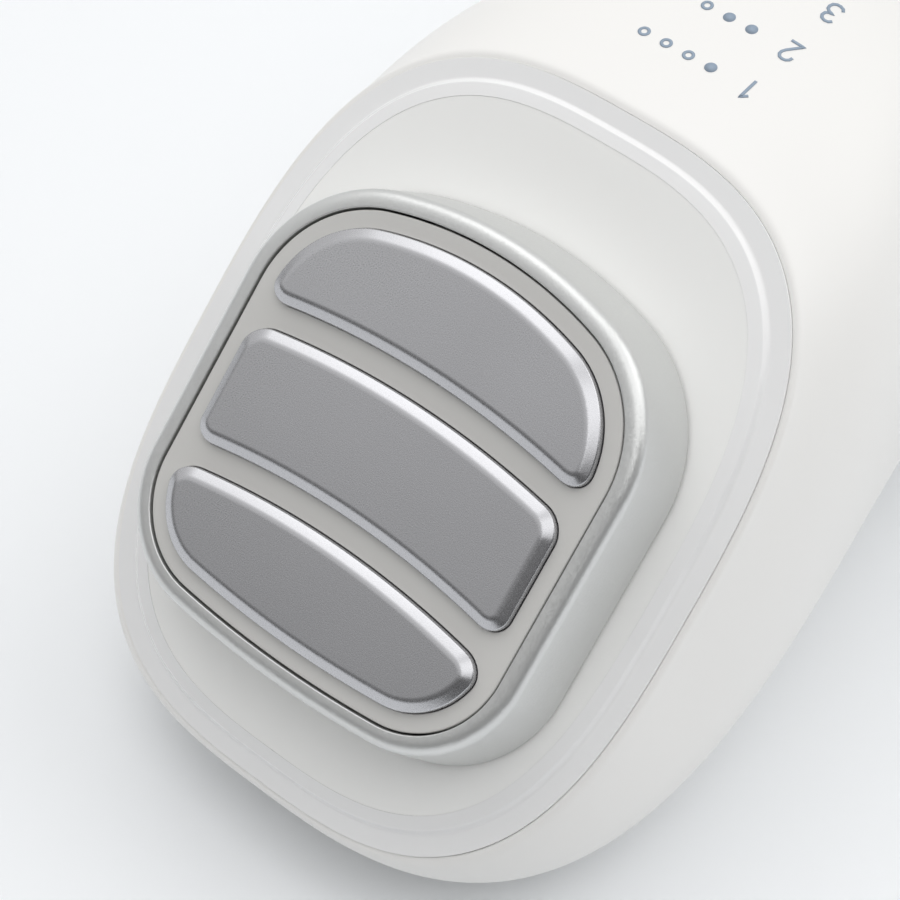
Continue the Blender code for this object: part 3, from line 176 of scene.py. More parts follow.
for name, (place, size, power) in SOFTBOXES.items():
    lamp = bpy.data.objects.new(name, bpy.data.lights.new(name, "AREA"))
    bpy.context.scene.collection.objects.link(lamp)
    lamp.data.shape = "RECTANGLE"
    lamp.data.size, lamp.data.size_y = size
    lamp.data.energy = power
    lamp.location = place
    lamp.rotation_euler = (place - FACE_MIDDLE).to_track_quat("Z", "Y").to_euler()
    print(name, power, "W at", [round(c, 2) for c in place])

# %% [markdown]
# ## The table
# A sheet of smooth white paper lies under the device, a plain plane with a faint cloudiness in its colour.

# %% Floor
FLOOR_HALF = 3.0


def new_material(name):
    """A material with its node tree and its shader."""
    material = bpy.data.materials.new(name)
    material.use_nodes = True
    return material, material.node_tree, material.node_tree.nodes["Principled BSDF"]


paper, tree, shader = new_material("matt_white_paper")
place = add(tree, "ShaderNodeTexCoord").outputs["Object"]
cloud = add(tree, "ShaderNodeTexNoise", {"Vector": place, "Scale": 6.0, "Detail": 2.0})
tint = add(tree, "ShaderNodeMix", {0: cloud, 6: linear("#F1F3F5"), 7: linear("#F4F6F8")}, data_type="RGBA")
tree.links.new(tint.outputs[2], shader.inputs["Base Color"])
shader.inputs["Roughness"].default_value = 0.8
shader.inputs["Specular IOR Level"].default_value = 0.2
sheet = bmesh.new()
bmesh.ops.create_grid(sheet, x_segments=1, y_segments=1, size=FLOOR_HALF)
floor_mesh = bpy.data.meshes.new("table")
sheet.to_mesh(floor_mesh)
sheet.free()
floor_mesh.materials.append(paper)
table = bpy.data.objects.new("table", floor_mesh)
bpy.context.scene.collection.objects.link(table)
print("table", 2 * FLOOR_HALF, "m wide")

# %% [markdown]
# ## Meshes from rings
# Every shell on this device is a stack of closed outlines, so one function joins rings of points with quads. A closed
# stack runs back to its first ring, as a hoop does, and an open one is capped. Faces are then turned outwards, and
# edges sharper than a limit stay crisp while the rest is shaded smooth.

# %% From rings to a piece
SHARP = math.radians(32.0)


def skin(rings, closed, split_ends=False):
    """A bmesh of quads over rings of equal length. Hollow-sided ends are split into triangles."""
    bm = bmesh.new()
    rows = [[bm.verts.new(point) for point in ring] for ring in rings]
    count = len(rows[0])
    for k in range(len(rows) if closed else len(rows) - 1):
        low = rows[k]
        high = rows[(k + 1) % len(rows)]
        for i in range(count):
            j = (i + 1) % count
            bm.faces.new((low[i], low[j], high[j], high[i]))
    if not closed:
        ends = [bm.faces.new(rows[0][::-1]), bm.faces.new(rows[-1])]
        if split_ends:
            bmesh.ops.triangulate(bm, faces=ends)
    return bm


def smooth(mesh):
    """Smooth shading with crisp edges."""
    mesh.shade_smooth()
    mesh.set_sharp_from_angle(angle=SHARP)


def solid(name, bm):
    """A bmesh as an object of the scene, with its faces turned outwards."""
    bmesh.ops.recalc_face_normals(bm, faces=bm.faces)
    mesh = bpy.data.meshes.new(name)
    bm.to_mesh(mesh)
    bm.free()
    smooth(mesh)
    made = bpy.data.objects.new(name, mesh)
    bpy.context.scene.collection.objects.link(made)
    return made


def settle(made):
    """Applies what the modifiers make, and leaves a plain mesh."""
    bpy.context.view_layer.update()
    graph = bpy.context.evaluated_depsgraph_get()
    mesh = bpy.data.meshes.new_from_object(made.evaluated_get(graph))
    made.modifiers.clear()
    made.data = mesh
    return made


def carve(made, tools, operation="DIFFERENCE"):
    """Cuts closed tools from a piece, or joins them to it, and removes the tools."""
    for tool in tools:
        step = made.modifiers.new(tool.name, "BOOLEAN")
        step.operation = operation
        step.solver = "EXACT"
        step.object = tool
    settle(made)
    smooth(made.data)
    for tool in tools:
        bpy.data.objects.remove(tool)
    return made


def dress(made, material, slot, body, *nodes):
    """Gives a finished piece flat flats, its material, its body and the solids that it stands for."""
    made.modifiers.new("flat_flats", "WEIGHTED_NORMAL").keep_sharp = True
    settle(made)
    made.data.materials.clear()
    made.data.materials.append(material)
    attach(made, body)
    if nodes:
        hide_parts(*nodes)
    made.data.calc_loop_triangles()
    print(made.name, len(made.data.loop_triangles), "triangles on", body)


# %% [markdown]
# ## White ABS: the body
# The shell and the rear cover are moulded in white ABS. The tool was spark-eroded, which leaves a fine even grain of
# about a fifth of a millimetre, so highlights are broad and soft. The colour drifts a little, as thick and thin walls
# cool at their own pace.

# %% A grained finish, and moulded white ABS
ABS_GRAIN = 0.22 * MM
ABS_DRIFT = 30.0 * MM


def grained(name, tones, drift, grain, bump, rough):
    """A material that drifts between two tones, with a fine grain that sets its bump and its roughness."""
    material, tree, shader = new_material(name)
    place = add(tree, "ShaderNodeTexCoord").outputs["Object"]
    slow = add(tree, "ShaderNodeTexNoise", {"Vector": place, "Scale": 1.0 / drift, "Detail": 1.0})
    fine = add(tree, "ShaderNodeTexNoise", {"Vector": place, "Scale": 1.0 / grain, "Detail": 2.0})
    tint = add(tree, "ShaderNodeMix", {0: slow, 6: linear(tones[0]), 7: linear(tones[1])}, data_type="RGBA")
    dull = add(tree, "ShaderNodeMapRange", {"Value": fine, "From Min": 0.3, "From Max": 0.7, "To Min": rough[0],
                                            "To Max": rough[1]})
    raised = add(tree, "ShaderNodeBump", {"Height": fine, "Strength": bump, "Distance": 0.1 * grain})
    tree.links.new(tint.outputs[2], shader.inputs["Base Color"])
    tree.links.new(dull.outputs[0], shader.inputs["Roughness"])
    tree.links.new(raised.outputs[0], shader.inputs["Normal"])
    return material, tree, shader


white_abs, tree, shader = grained("moulded_white_abs", ("#EFEEEB", "#F3F2F0"), ABS_DRIFT, ABS_GRAIN, 0.12, (0.40, 0.50))
shader.inputs["IOR"].default_value = 1.53
print(white_abs.name, "with a grain of", ABS_GRAIN / MM, "mm")

# %% [markdown]
# ## Outlines
# The clear ring is a superellipse: an oval whose ends are more square than an ellipse's, with a longer reach to the
# handle than to the tip. The same kind of curve, with other sizes, gives every section of the body. A cubic curve
# leads each size from one section to the next.

# %% Superellipse and curve
RING_HALF_WIDTH = 23.4 * MM
RING_UPPER = 29.6 * MM
RING_LOWER = 28.1 * MM
RING_WIDEST = 0.6 * MM
RING_UPPER_POWER = 2.95
RING_LOWER_POWER = 2.95
FIT = 0.3 * MM


def bezier(a, b, c, d, t):
    """A cubic curve from a to d, pulled towards b and c."""
    s = 1.0 - t
    return s * s * s * a + 3.0 * s * s * t * b + 3.0 * s * t * t * c + t * t * t * d


def oval(half_u, reach_up, reach_down, power_up, power_down, count):
    """A rounded outline, with its own reach and squareness on either side of its widest line."""
    points = []
    for step in range(count):
        turn = 2.0 * math.pi * step / count
        across = math.cos(turn)
        along = math.sin(turn)
        power = power_up if along >= 0.0 else power_down
        reach = reach_up if along >= 0.0 else reach_down
        points.append((half_u * math.copysign(abs(across) ** (2.0 / power), across),
                       reach * math.copysign(abs(along) ** (2.0 / power), along)))
    return points


def ring_points(grow, h, count):
    """The clear ring's outline, grown by a distance, at a height over the face plane."""
    flat = oval(RING_HALF_WIDTH + grow, RING_UPPER + grow, RING_LOWER + grow, RING_UPPER_POWER, RING_LOWER_POWER,
                count)
    return [on_face(u, v + RING_WIDEST, h) for u, v in flat]


print("clear ring", round(2.0 * RING_HALF_WIDTH / MM, 1), "x", round((RING_UPPER + RING_LOWER) / MM, 1), "mm")

# %% [markdown]
# ## The body's sections
# The body starts in the face plane, right round the ring. From there each section leans less, until it stands upright
# at the neck, and the handle goes on in upright sections to the tail. Each section has a top, a bottom, a half width,
# the place of its widest line and two powers. Where the back would sink into the table it is flat.

# %% Sizes of the body
BODY_LIP = 0.8 * MM
WALL = 2.2 * MM
NECK_Y = 44.0 * MM
HANDLE_LENGTH = 84.0 * MM
TAIL_LENGTH = 36.0 * MM
TAIL_START = NECK_Y + HANDLE_LENGTH
CHIN_DROP = 11.2 * MM
CHIN_BACK = 3.4 * MM
HEEL_Y = 17.7 * MM
BROW_RUN = 8.0 * MM
BROW_RISE = math.radians(5.0)
HEAD_SWELL = 25.4 * MM
HEAD_CHEEK = 29.1 * MM
HEAD_WIDEST = 0.174
BROW_POWER = 3.46
CHIN_POWER = 3.62
HANDLE_POWER = 2.5
NECK_HALF_WIDTH = 21.7 * MM
GRIP_HALF_WIDTH = 20.0 * MM
PALM_HALF_WIDTH = 20.4 * MM
TAIL_HALF_WIDTH = 10.5 * MM
NECK_TOP, GRIP_TOP, PALM_TOP, REAR_TOP, TAIL_TOP = (z * MM for z in (50.6, 53.2, 50.5, 44.5, 27.0))
NECK_UNDER, GRIP_UNDER, PALM_UNDER, REAR_UNDER, TAIL_UNDER = (z * MM for z in (3.4, 9.5, 8.0, 0.2, 13.0))
TAIL_SINK = 6.0 * MM
TAIL_ROUND = 9.5 * MM


# %% Stations along the body
def face_yz(v):
    """A point of the face plane's middle line, from the device's origin."""
    return v * math.cos(FACE_TILT), FACE_HEIGHT + v * math.sin(FACE_TILT)


def head_station(t):
    """A section between the face, t = 0, and the neck, t = 1."""
    brow = face_yz(RING_WIDEST + RING_UPPER + BODY_LIP)
    tip = face_yz(RING_WIDEST - RING_LOWER - BODY_LIP)
    run = (NECK_Y - brow[0]) / 3.0
    neck_slope = (GRIP_TOP - NECK_TOP) * 3.0 / HANDLE_LENGTH
    under_slope = (GRIP_UNDER - NECK_UNDER) * 3.0 / HANDLE_LENGTH
    heel_z = NECK_UNDER - (NECK_Y - HEEL_Y) * under_slope
    leave = (brow[0] + BROW_RUN * math.cos(BROW_RISE), brow[1] + BROW_RUN * math.sin(BROW_RISE))
    top = (bezier(brow[0], leave[0], NECK_Y - run, NECK_Y, t),
           bezier(brow[1], leave[1], NECK_TOP - run * neck_slope, NECK_TOP, t))
    bottom = (bezier(tip[0], tip[0] + CHIN_BACK, HEEL_Y, NECK_Y, t),
              bezier(tip[1], tip[1] - CHIN_DROP, heel_z, NECK_UNDER, t))
    ease = math.sin(t * math.pi / 2.0)
    half = bezier(RING_HALF_WIDTH + BODY_LIP, HEAD_SWELL, HEAD_CHEEK, NECK_HALF_WIDTH, ease)
    start = (RING_LOWER + BODY_LIP) / (RING_LOWER + RING_UPPER + 2.0 * BODY_LIP)
    return (top, bottom, half, bezier(start, HEAD_WIDEST, 0.5, 0.5, t),
            bezier(RING_UPPER_POWER, BROW_POWER, HANDLE_POWER, HANDLE_POWER, t),
            bezier(RING_LOWER_POWER, CHIN_POWER, HANDLE_POWER, HANDLE_POWER, t))


def handle_z(y):
    """Top and bottom heights and half width of the handle at a distance along it."""
    t = (y - NECK_Y) / HANDLE_LENGTH
    return (bezier(NECK_TOP, GRIP_TOP, PALM_TOP, REAR_TOP, t),
            bezier(NECK_UNDER, GRIP_UNDER, PALM_UNDER, REAR_UNDER, t),
            bezier(NECK_HALF_WIDTH, GRIP_HALF_WIDTH, PALM_HALF_WIDTH, PALM_HALF_WIDTH, t))


def handle_station(y):
    """An upright section of the handle."""
    high, low, half = handle_z(y)
    return (y, high), (y, low), half, 0.5, HANDLE_POWER, HANDLE_POWER


def tail_station(t):
    """An upright section of the tail, which closes towards its end, t = 1."""
    reach = TAIL_LENGTH / 2.0
    fall = (REAR_TOP - PALM_TOP) * 3.0 / HANDLE_LENGTH * reach
    y = bezier(TAIL_START, TAIL_START + reach, TAIL_END, TAIL_END, t)
    high = bezier(REAR_TOP, REAR_TOP + fall, TAIL_TOP + TAIL_ROUND, TAIL_TOP, t)
    low = bezier(REAR_UNDER, REAR_UNDER - TAIL_SINK, TAIL_UNDER - TAIL_ROUND, TAIL_UNDER, t)
    half = bezier(PALM_HALF_WIDTH, PALM_HALF_WIDTH, TAIL_HALF_WIDTH + TAIL_ROUND, TAIL_HALF_WIDTH, t)
    return (y, high), (y, low), half, 0.5, HANDLE_POWER, HANDLE_POWER


def section(station, inset):
    """The points of one section, moved in by a wall and cut flat at the table."""
    top, bottom, half, widest, up, down = station
    rise = Vector((top[0] - bottom[0], top[1] - bottom[1]))
    height = rise.length
    middle = height * widest
    points = []
    for x, v in oval(half - inset, height - middle - inset, middle - inset, up, down, AROUND):
        y, z = Vector(bottom) + rise * ((middle + v) / height)
        points.append(Vector((x, DEVICE_Y + y, max(z, inset))))
    return points


AROUND = 224
HEAD_STEPS = 64
HANDLE_STEPS = 40
TAIL_STEPS = 40
head_times = [(step / HEAD_STEPS) ** 1.3 for step in range(HEAD_STEPS)]
tail_times = [math.sin(step / TAIL_STEPS * math.pi / 2.0) for step in range(TAIL_STEPS + 1)]
handle_places = [NECK_Y + HANDLE_LENGTH * step / HANDLE_STEPS for step in range(HANDLE_STEPS)]
print("sections", len(head_times) + len(handle_places) + len(tail_times), "of", AROUND, "points")

# %% [markdown]
# ## The hollow body
# Outer skin, tail edge, inner skin, the ring's seat and its bore are one long stack of rings that closes on itself, so
# the wall needs no cutting. Two soft edges are drawn into it: the lip beside the ring and the rim round the tail plate.

# %% Body tube
SEAT_DEPTH = 3.0 * MM
SEAT_THICK = 1.6 * MM
SEAT_REACH = 3.5 * MM
SEAT_ROOT = 0.6 * MM
INNER_START = 0.3485
LIP_LAND = 0.45 * MM
LIP_TURN = 0.018
LIP_STEPS = 6
RIM_ROUND = 0.25 * MM


def blend_rings(first, corner, last, steps):
    """Rings that round the corner between two rings, point by point."""
    rings = []
    for step in range(steps):
        t = step / steps
        s = 1.0 - t
        rings.append([a * (s * s) + b * (2.0 * s * t) + c * (t * t) for a, b, c in zip(first, corner, last)])
    return rings


def body_tube():
    """The hollow body from the face to the tail, with the ring's seat in its mouth."""
    outer = [section(head_station(t), 0.0) for t in head_times if t > LIP_TURN]
    lip = blend_rings(ring_points(LIP_LAND, 0.0, AROUND), section(head_station(0.0), 0.0),
                      section(head_station(LIP_TURN), 0.0), LIP_STEPS)
    outer += [section(handle_station(y), 0.0) for y in handle_places]
    outer += [section(tail_station(t), 0.0) for t in tail_times]
    end = tail_station(1.0)
    rim = section(end, WALL)
    back = [p - Vector((0.0, RIM_ROUND, 0.0)) for p in rim]
    tail_edge = blend_rings(section(end, WALL - RIM_ROUND), rim, back, LIP_STEPS)
    inner = [section(head_station(t), WALL) for t in head_times[::2] if t >= INNER_START]
    inner += [section(handle_station(y), WALL) for y in handle_places[::2]]
    inner += [section(tail_station(t), WALL) for t in tail_times[:-1:2]] + [back]
    foot = -SEAT_DEPTH - SEAT_THICK
    seat = [ring_points(-SEAT_ROOT, foot, AROUND), ring_points(-SEAT_REACH, foot, AROUND),
            ring_points(-SEAT_REACH, -SEAT_DEPTH, AROUND), ring_points(FIT, -SEAT_DEPTH, AROUND)]
    mouth = blend_rings(ring_points(FIT, FIT - LIP_LAND, AROUND), ring_points(FIT, 0.0, AROUND),
                        ring_points(LIP_LAND, 0.0, AROUND), LIP_STEPS)
    return skin(lip + outer + tail_edge + inner[::-1] + seat + mouth, True)


# %% [markdown]
# ## Openings that follow the skin
# A button's opening has a softly rounded edge. The skin is curved, so the cutter's rings are laid on it: each point
# sits at the skin's own height plus a small step, and the rounding keeps one width all the way round.

# %% Openings, bosses and the joint of the cover
PART_LINE = 10.0 * MM
COVER_START = 24.0 * MM
OVERCUT = 1.0 * MM
EDGE_ROUND = 0.35 * MM
BUTTON_POWER = 2.3
BUTTON_SIDES = 96
MODE_Y, LEVEL_Y, POWER_Y, LENS_Y = (y * MM for y in (59.0, 75.0, 89.5, 101.0))
MODE_HALF, LEVEL_HALF, POWER_HALF, LENS_HALF = ((6.5 * MM, 5.0 * MM), (4.6 * MM, 4.6 * MM), (3.8 * MM, 3.8 * MM),
                                                (6.0 * MM, 1.2 * MM))


def top_at(x, y, inset):
    """Height of the handle's upper skin, or of its inner face, over a point."""
    high, low, half = handle_z(y)
    reach = (high - low) / 2.0 - inset
    share = min(abs(x) / (half - inset), 1.0) ** HANDLE_POWER
    return (high + low) / 2.0 + reach * (1.0 - share) ** (1.0 / HANDLE_POWER)


def under_at(x, y, inset):
    """Height of the handle's lower skin, or of its inner face, over a point."""
    if y > TAIL_START:
        return inset
    high, low, half = handle_z(y)
    return max(high + low - top_at(x, y, inset), inset)


def button_oval(half, grow):
    """The outline of a button or an opening."""
    return oval(half[0] + grow, half[1] + grow, half[1] + grow, BUTTON_POWER, BUTTON_POWER, BUTTON_SIDES)


def opening(half, y):
    """A cutter for an opening with a rounded edge, laid on the handle's skin."""
    profile = [(FIT, -3.0 * WALL)]
    for step in range(LIP_STEPS + 1):
        a = math.pi / 2.0 * step / LIP_STEPS
        profile.append((FIT + EDGE_ROUND * (1.0 - math.cos(a)), -EDGE_ROUND * (1.0 - math.sin(a))))
    profile.append((FIT + 2.0 * EDGE_ROUND, 2.0 * WALL))
    rings = []
    for grow, h in profile:
        rings.append([(x, DEVICE_Y + y + v, top_at(x, y + v, 0.0) + h) for x, v in button_oval(half, grow)])
    return solid("opening", skin(rings, False))


def post(name, x, y, steps, sides=32):
    """An upright round solid of the device through (radius, height) steps."""
    turns = [2.0 * math.pi * k / sides for k in range(sides)]
    rings = [[(x + r * math.cos(a), DEVICE_Y + y + r * math.sin(a), z) for a in turns] for r, z in steps]
    return solid(name, skin(rings, False))


def slab(name, low, high):
    """A box between two corners."""
    bm = bmesh.new()
    bmesh.ops.create_cube(bm, size=1.0)
    for vert in bm.verts:
        vert.co = [low[i] + (vert.co[i] + 0.5) * (high[i] - low[i]) for i in range(3)]
    return solid(name, bm)


def cover_space(gap):
    """The part of the body that the rear cover takes up, less a gap."""
    return slab("cover_space", (-2.0 * NECK_HALF_WIDTH, DEVICE_Y + COVER_START + gap, -OVERCUT),
                (2.0 * NECK_HALF_WIDTH, DEVICE_Y + TAIL_END + OVERCUT, PART_LINE - gap))


# %% [markdown]
# ## The front shell
# It holds the head, the buttons and the level light, and four bosses inside take the chassis screws.

# %% Front shell
BOSS_RADIUS = 2.6 * MM
BOSS_ROOT = 1.0 * MM
SCREW_RADIUS = 1.0 * MM
SCREW_GRIP = 5.0 * MM
BOSS_PLACES = [(x * MM, y * MM) for y in (46.5, 125.0) for x in (-12.0, 12.0)]
CHASSIS_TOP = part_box("main_board")[0].z - FIT

shell = solid("front_shell_skin", body_tube())
bosses = []
cutters = [cover_space(0.0)]
for x, y in BOSS_PLACES:
    root = top_at(abs(x) + BOSS_RADIUS, y + BOSS_RADIUS, WALL) + BOSS_ROOT
    bosses.append(post("boss", x, y, [(BOSS_RADIUS, CHASSIS_TOP + FIT), (BOSS_RADIUS, root)]))
    cutters.append(post("screw_hole", x, y, [(SCREW_RADIUS + FIT, CHASSIS_TOP - OVERCUT),
                                             (SCREW_RADIUS + FIT, CHASSIS_TOP + SCREW_GRIP + OVERCUT)]))
for half, y in ((MODE_HALF, MODE_Y), (LEVEL_HALF, LEVEL_Y), (POWER_HALF, POWER_Y), (LENS_HALF, LENS_Y)):
    cutters.append(opening(half, y))
carve(shell, bosses, "UNION")
carve(shell, cutters)
dress(shell, white_abs, "white_plastic", "housing", "front_shell")

# %% [markdown]
# ## The rear cover
# The back of the handle is a shallow shell of its own, held by four screws that sit deep in round pockets.

# %% Rear cover
POST_PLACES = [(x * MM, y * MM) for y in (55.0, 131.0) for x in (-7.5, 7.5)]
POST_FOOT = 17.0 * MM
SCREW_HEAD_RADIUS = 1.9 * MM
SCREW_HEAD_THICK = 1.2 * MM
COVER_HEAD_DEPTH = 1.6 * MM
POCKET_CHAMFER = 0.3 * MM

cover = solid("rear_cover_skin", body_tube())
carve(cover, [cover_space(FIT)], "INTERSECT")
tubes = []
cutters = []
for x, y in POST_PLACES:
    ends = (y - BOSS_RADIUS, y + BOSS_RADIUS)
    skin_high = max(under_at(abs(x) + BOSS_RADIUS, end, 0.0) for end in ends)
    wall_low = min(under_at(abs(x) - BOSS_RADIUS, end, WALL) for end in ends)
    tubes.append(post("tube", x, y, [(BOSS_RADIUS, (skin_high + wall_low) / 2.0), (BOSS_RADIUS, POST_FOOT - FIT)]))
    outside = under_at(x, y, 0.0)
    pocket = SCREW_HEAD_RADIUS + FIT
    ledge = outside + COVER_HEAD_DEPTH + SCREW_HEAD_THICK + FIT
    cutters.append(post("bore", x, y, [(pocket + OVERCUT, outside - OVERCUT), (pocket, outside + POCKET_CHAMFER),
                                       (pocket, ledge), (SCREW_RADIUS + FIT, ledge),
                                       (SCREW_RADIUS + FIT, POST_FOOT + OVERCUT)]))
carve(cover, tubes, "UNION")
carve(cover, cutters)
dress(cover, white_abs, "white_plastic", "housing", "rear_cover")

# %% [markdown]
# ## The clear ring
# The rim round the head is a hoop of polished acrylic, a light guide. Its shape is a pure rule, a small profile carried
# round a superellipse, so Geometry Nodes make it: the object holds only the profile, and the tree lays a grid round
# the oval. A light guide is filled with fine beads that throw the light out sideways, so over a white seat it looks
# milky and almost as white as the shell, and its polished faces add thin bright lines.

# %% Light guide acrylic
LIGHT_GUIDE_FLOW = 1.6 * MM

clear, tree, shader = grained("polished_light_guide_acrylic", ("#F8F8F8", "#FCFCFC"), 14.0 * MM, LIGHT_GUIDE_FLOW, 0.05,
                              (0.05, 0.11))
shader.inputs["IOR"].default_value = 1.49
shader.inputs["Transmission Weight"].default_value = 0.06
print(clear.name, "with flow marks of", LIGHT_GUIDE_FLOW / MM, "mm")

# %% A node tree that carries a profile round the oval
def input_socket(tree, name, kind, value=None):
    """A named input of a node group, with its default value."""
    socket = tree.interface.new_socket(name, in_out="INPUT", socket_type=kind)
    if value is not None:
        socket.default_value = value
    return socket.identifier


def new_group(name):
    """A geometry node group with its geometry sockets."""
    tree = bpy.data.node_groups.new(name, "GeometryNodeTree")
    input_socket(tree, "Geometry", "NodeSocketGeometry")
    tree.interface.new_socket("Geometry", in_out="OUTPUT", socket_type="NodeSocketGeometry")
    return tree


def close_group(tree, geometry, material):
    """Ends a group with plain geometry that carries its material."""
    plain = add(tree, "GeometryNodeRealizeInstances", {"Geometry": geometry})
    painted = add(tree, "GeometryNodeSetMaterial", {"Geometry": plain, "Material": material})
    add(tree, "NodeGroupOutput", {0: painted})


hoop = new_group("profile_round_an_oval")
sizes = {"Half width": RING_HALF_WIDTH, "Upper reach": RING_UPPER, "Lower reach": RING_LOWER,
         "Upper power": RING_UPPER_POWER, "Lower power": RING_LOWER_POWER, "Widest line": RING_WIDEST}
for name, value in sizes.items():
    input_socket(hoop, name, "NodeSocketFloat", value)
steps_socket = input_socket(hoop, "Steps round", "NodeSocketInt", 96)
given = add(hoop, "NodeGroupInput").outputs
rows = add(hoop, "GeometryNodeAttributeDomainSize", {"Geometry": given["Geometry"]}).outputs["Point Count"]
columns = add(hoop, "ShaderNodeMath", {0: given["Steps round"], 1: 1.0}, operation="ADD")
grid = add(hoop, "GeometryNodeMeshGrid", {"Size X": 1.0, "Size Y": 1.0, "Vertices X": columns, "Vertices Y": rows})
here = add(hoop, "GeometryNodeInputPosition")
where = add(hoop, "ShaderNodeSeparateXYZ", {0: here}).outputs
turn = add(hoop, "ShaderNodeMath", {0: where["X"], 1: 2.0 * math.pi, 2: math.pi}, operation="MULTIPLY_ADD")
across = add(hoop, "ShaderNodeMath", {0: turn}, operation="COSINE")
along = add(hoop, "ShaderNodeMath", {0: turn}, operation="SINE")
last_row = add(hoop, "ShaderNodeMath", {0: rows, 1: 1.0}, operation="SUBTRACT")
from_edge = add(hoop, "ShaderNodeMath", {0: where["Y"], 1: 0.5}, operation="ADD")
row_share = add(hoop, "ShaderNodeMath", {0: from_edge, 1: last_row}, operation="MULTIPLY")
row = add(hoop, "ShaderNodeMath", {0: row_share}, operation="ROUND")
taken = add(hoop, "GeometryNodeSampleIndex", {"Geometry": given["Geometry"], "Value": here, "Index": row},
            data_type="FLOAT_VECTOR")
profile_at = add(hoop, "ShaderNodeSeparateXYZ", {0: taken}).outputs
is_upper = add(hoop, "ShaderNodeMath", {0: along, 1: 0.0}, operation="GREATER_THAN")
power = add(hoop, "ShaderNodeMix", {0: is_upper, 2: given["Lower power"], 3: given["Upper power"]})
reach = add(hoop, "ShaderNodeMix", {0: is_upper, 2: given["Lower reach"], 3: given["Upper reach"]})
bend = add(hoop, "ShaderNodeMath", {0: 2.0, 1: power}, operation="DIVIDE")


def bowed(direction, size):
    """Cosine or sine, bent to the oval's power and stretched to its size."""
    whole = add(hoop, "ShaderNodeMath", {0: direction}, operation="ABSOLUTE")
    bent = add(hoop, "ShaderNodeMath", {0: whole, 1: bend}, operation="POWER")
    sign = add(hoop, "ShaderNodeMath", {0: direction}, operation="SIGN")
    signed = add(hoop, "ShaderNodeMath", {0: bent, 1: sign}, operation="MULTIPLY")
    grown_size = add(hoop, "ShaderNodeMath", {0: size, 1: profile_at["X"]}, operation="ADD")
    return add(hoop, "ShaderNodeMath", {0: signed, 1: grown_size}, operation="MULTIPLY")


u = bowed(across, given["Half width"])
v = add(hoop, "ShaderNodeMath", {0: bowed(along, reach), 1: given["Widest line"]}, operation="ADD")
spot = add(hoop, "ShaderNodeCombineXYZ", {0: u, 1: v, 2: profile_at["Y"]})
swept = add(hoop, "GeometryNodeSetPosition", {"Geometry": grid, "Position": spot})
sewn = add(hoop, "GeometryNodeMergeByDistance", {"Geometry": swept, "Distance": 0.02 * MM})
tilted = add(hoop, "GeometryNodeTransform", {"Geometry": sewn, "Translation": FACE_MIDDLE,
                                             "Rotation": (FACE_TILT, 0.0, 0.0)})
close_group(hoop, tilted, clear)
print("node tree", hoop.name, len(hoop.nodes), "nodes")

# %% Clear ring
RING_BAND = 2.2 * MM
RING_EDGE = 0.22 * MM
RING_ROUND = 0.04 * MM
RING_VALLEY = (-1.2 * MM, 0.26 * MM)
RING_CREST = (-1.48 * MM, 0.66 * MM)
RING_INNER = 0.84 * MM
RING_FLANGE = 1.6 * MM
RING_FLANGE_THICK = 1.0 * MM
RING_STEPS = 320
SEAM = 0.005 * MM
EASE_STEPS = 8


def eased(corners):
    """A chain of points from (point, reach) corners, each rounded as far as its reach."""
    points = []
    for k, (corner, reach) in enumerate(corners):
        if not reach:
            points.append(corner)
            continue
        legs = []
        for other in (corners[k - 1][0], corners[k + 1][0]):
            share = reach / math.dist(corner, other)
            legs.append(tuple(c + (o - c) * share for c, o in zip(corner, other)))
        for step in range(EASE_STEPS + 1):
            t = step / EASE_STEPS
            s = 1.0 - t
            points.append(tuple(s * s * a + 2.0 * s * t * b + t * t * c for a, b, c in zip(legs[0], corner, legs[1])))
    return points


def line_mesh(name, points):
    """An object that holds a chain of points."""
    mesh = bpy.data.meshes.new(name)
    mesh.from_pydata([(a, b, 0.0) for a, b in points], [(k, k + 1) for k in range(len(points) - 1)], [])
    made = bpy.data.objects.new(name, mesh)
    bpy.context.scene.collection.objects.link(made)
    return made


def grow_nodes(made, tree, values):
    """Runs a node tree on an object, with inputs given by socket identifier, and keeps the plain mesh."""
    step = made.modifiers.new(tree.name, "NODES")
    step.node_group = tree
    for identifier, value in values.items():
        step[identifier] = value
    settle(made)
    bm = bmesh.new()
    bm.from_mesh(made.data)
    bmesh.ops.recalc_face_normals(bm, faces=bm.faces)
    bm.to_mesh(made.data)
    bm.free()
    smooth(made.data)
    return made


foot = -SEAT_DEPTH + FIT
flange = -RING_BAND - RING_FLANGE
flange_top = foot + RING_FLANGE_THICK
ring_out = FIT - SEAM
ring_in = -RING_BAND - ring_out
ring_profile = eased([((flange, foot), 0.0), ((ring_out, foot), 0.0), ((ring_out, RING_EDGE), RING_ROUND),
                      (RING_VALLEY, 4.0 * RING_ROUND), (RING_CREST, 2.0 * RING_ROUND), ((ring_in, RING_INNER), RING_ROUND / 2.0),
                      ((ring_in, flange_top), 0.0), ((flange, flange_top), 0.0), ((flange, foot), 0.0)])
ring = grow_nodes(line_mesh("clear_ring_hoop", ring_profile), hoop, {steps_socket: RING_STEPS})
dress(ring, clear, "clear_acrylic", "housing", "clear_ring")

# %% [markdown]
# ## The insert's outline
# The insert, the bezel and the contact plates share one outline: straight sides, round corners and two bowed ends, each
# an arc that runs smoothly into the next. It is walked at even steps, so that offsets keep their distance.

# %% Insert outline
INSERT_HALF_WIDTH = 16.6 * MM
INSERT_HALF_HEIGHT = 17.2 * MM
INSERT_TOP_ARC = 33.9 * MM
INSERT_TOP_CORNER = 9.8 * MM
INSERT_LOW_ARC = 94.0 * MM
INSERT_LOW_CORNER = 7.75 * MM
ARC_STEPS = 48


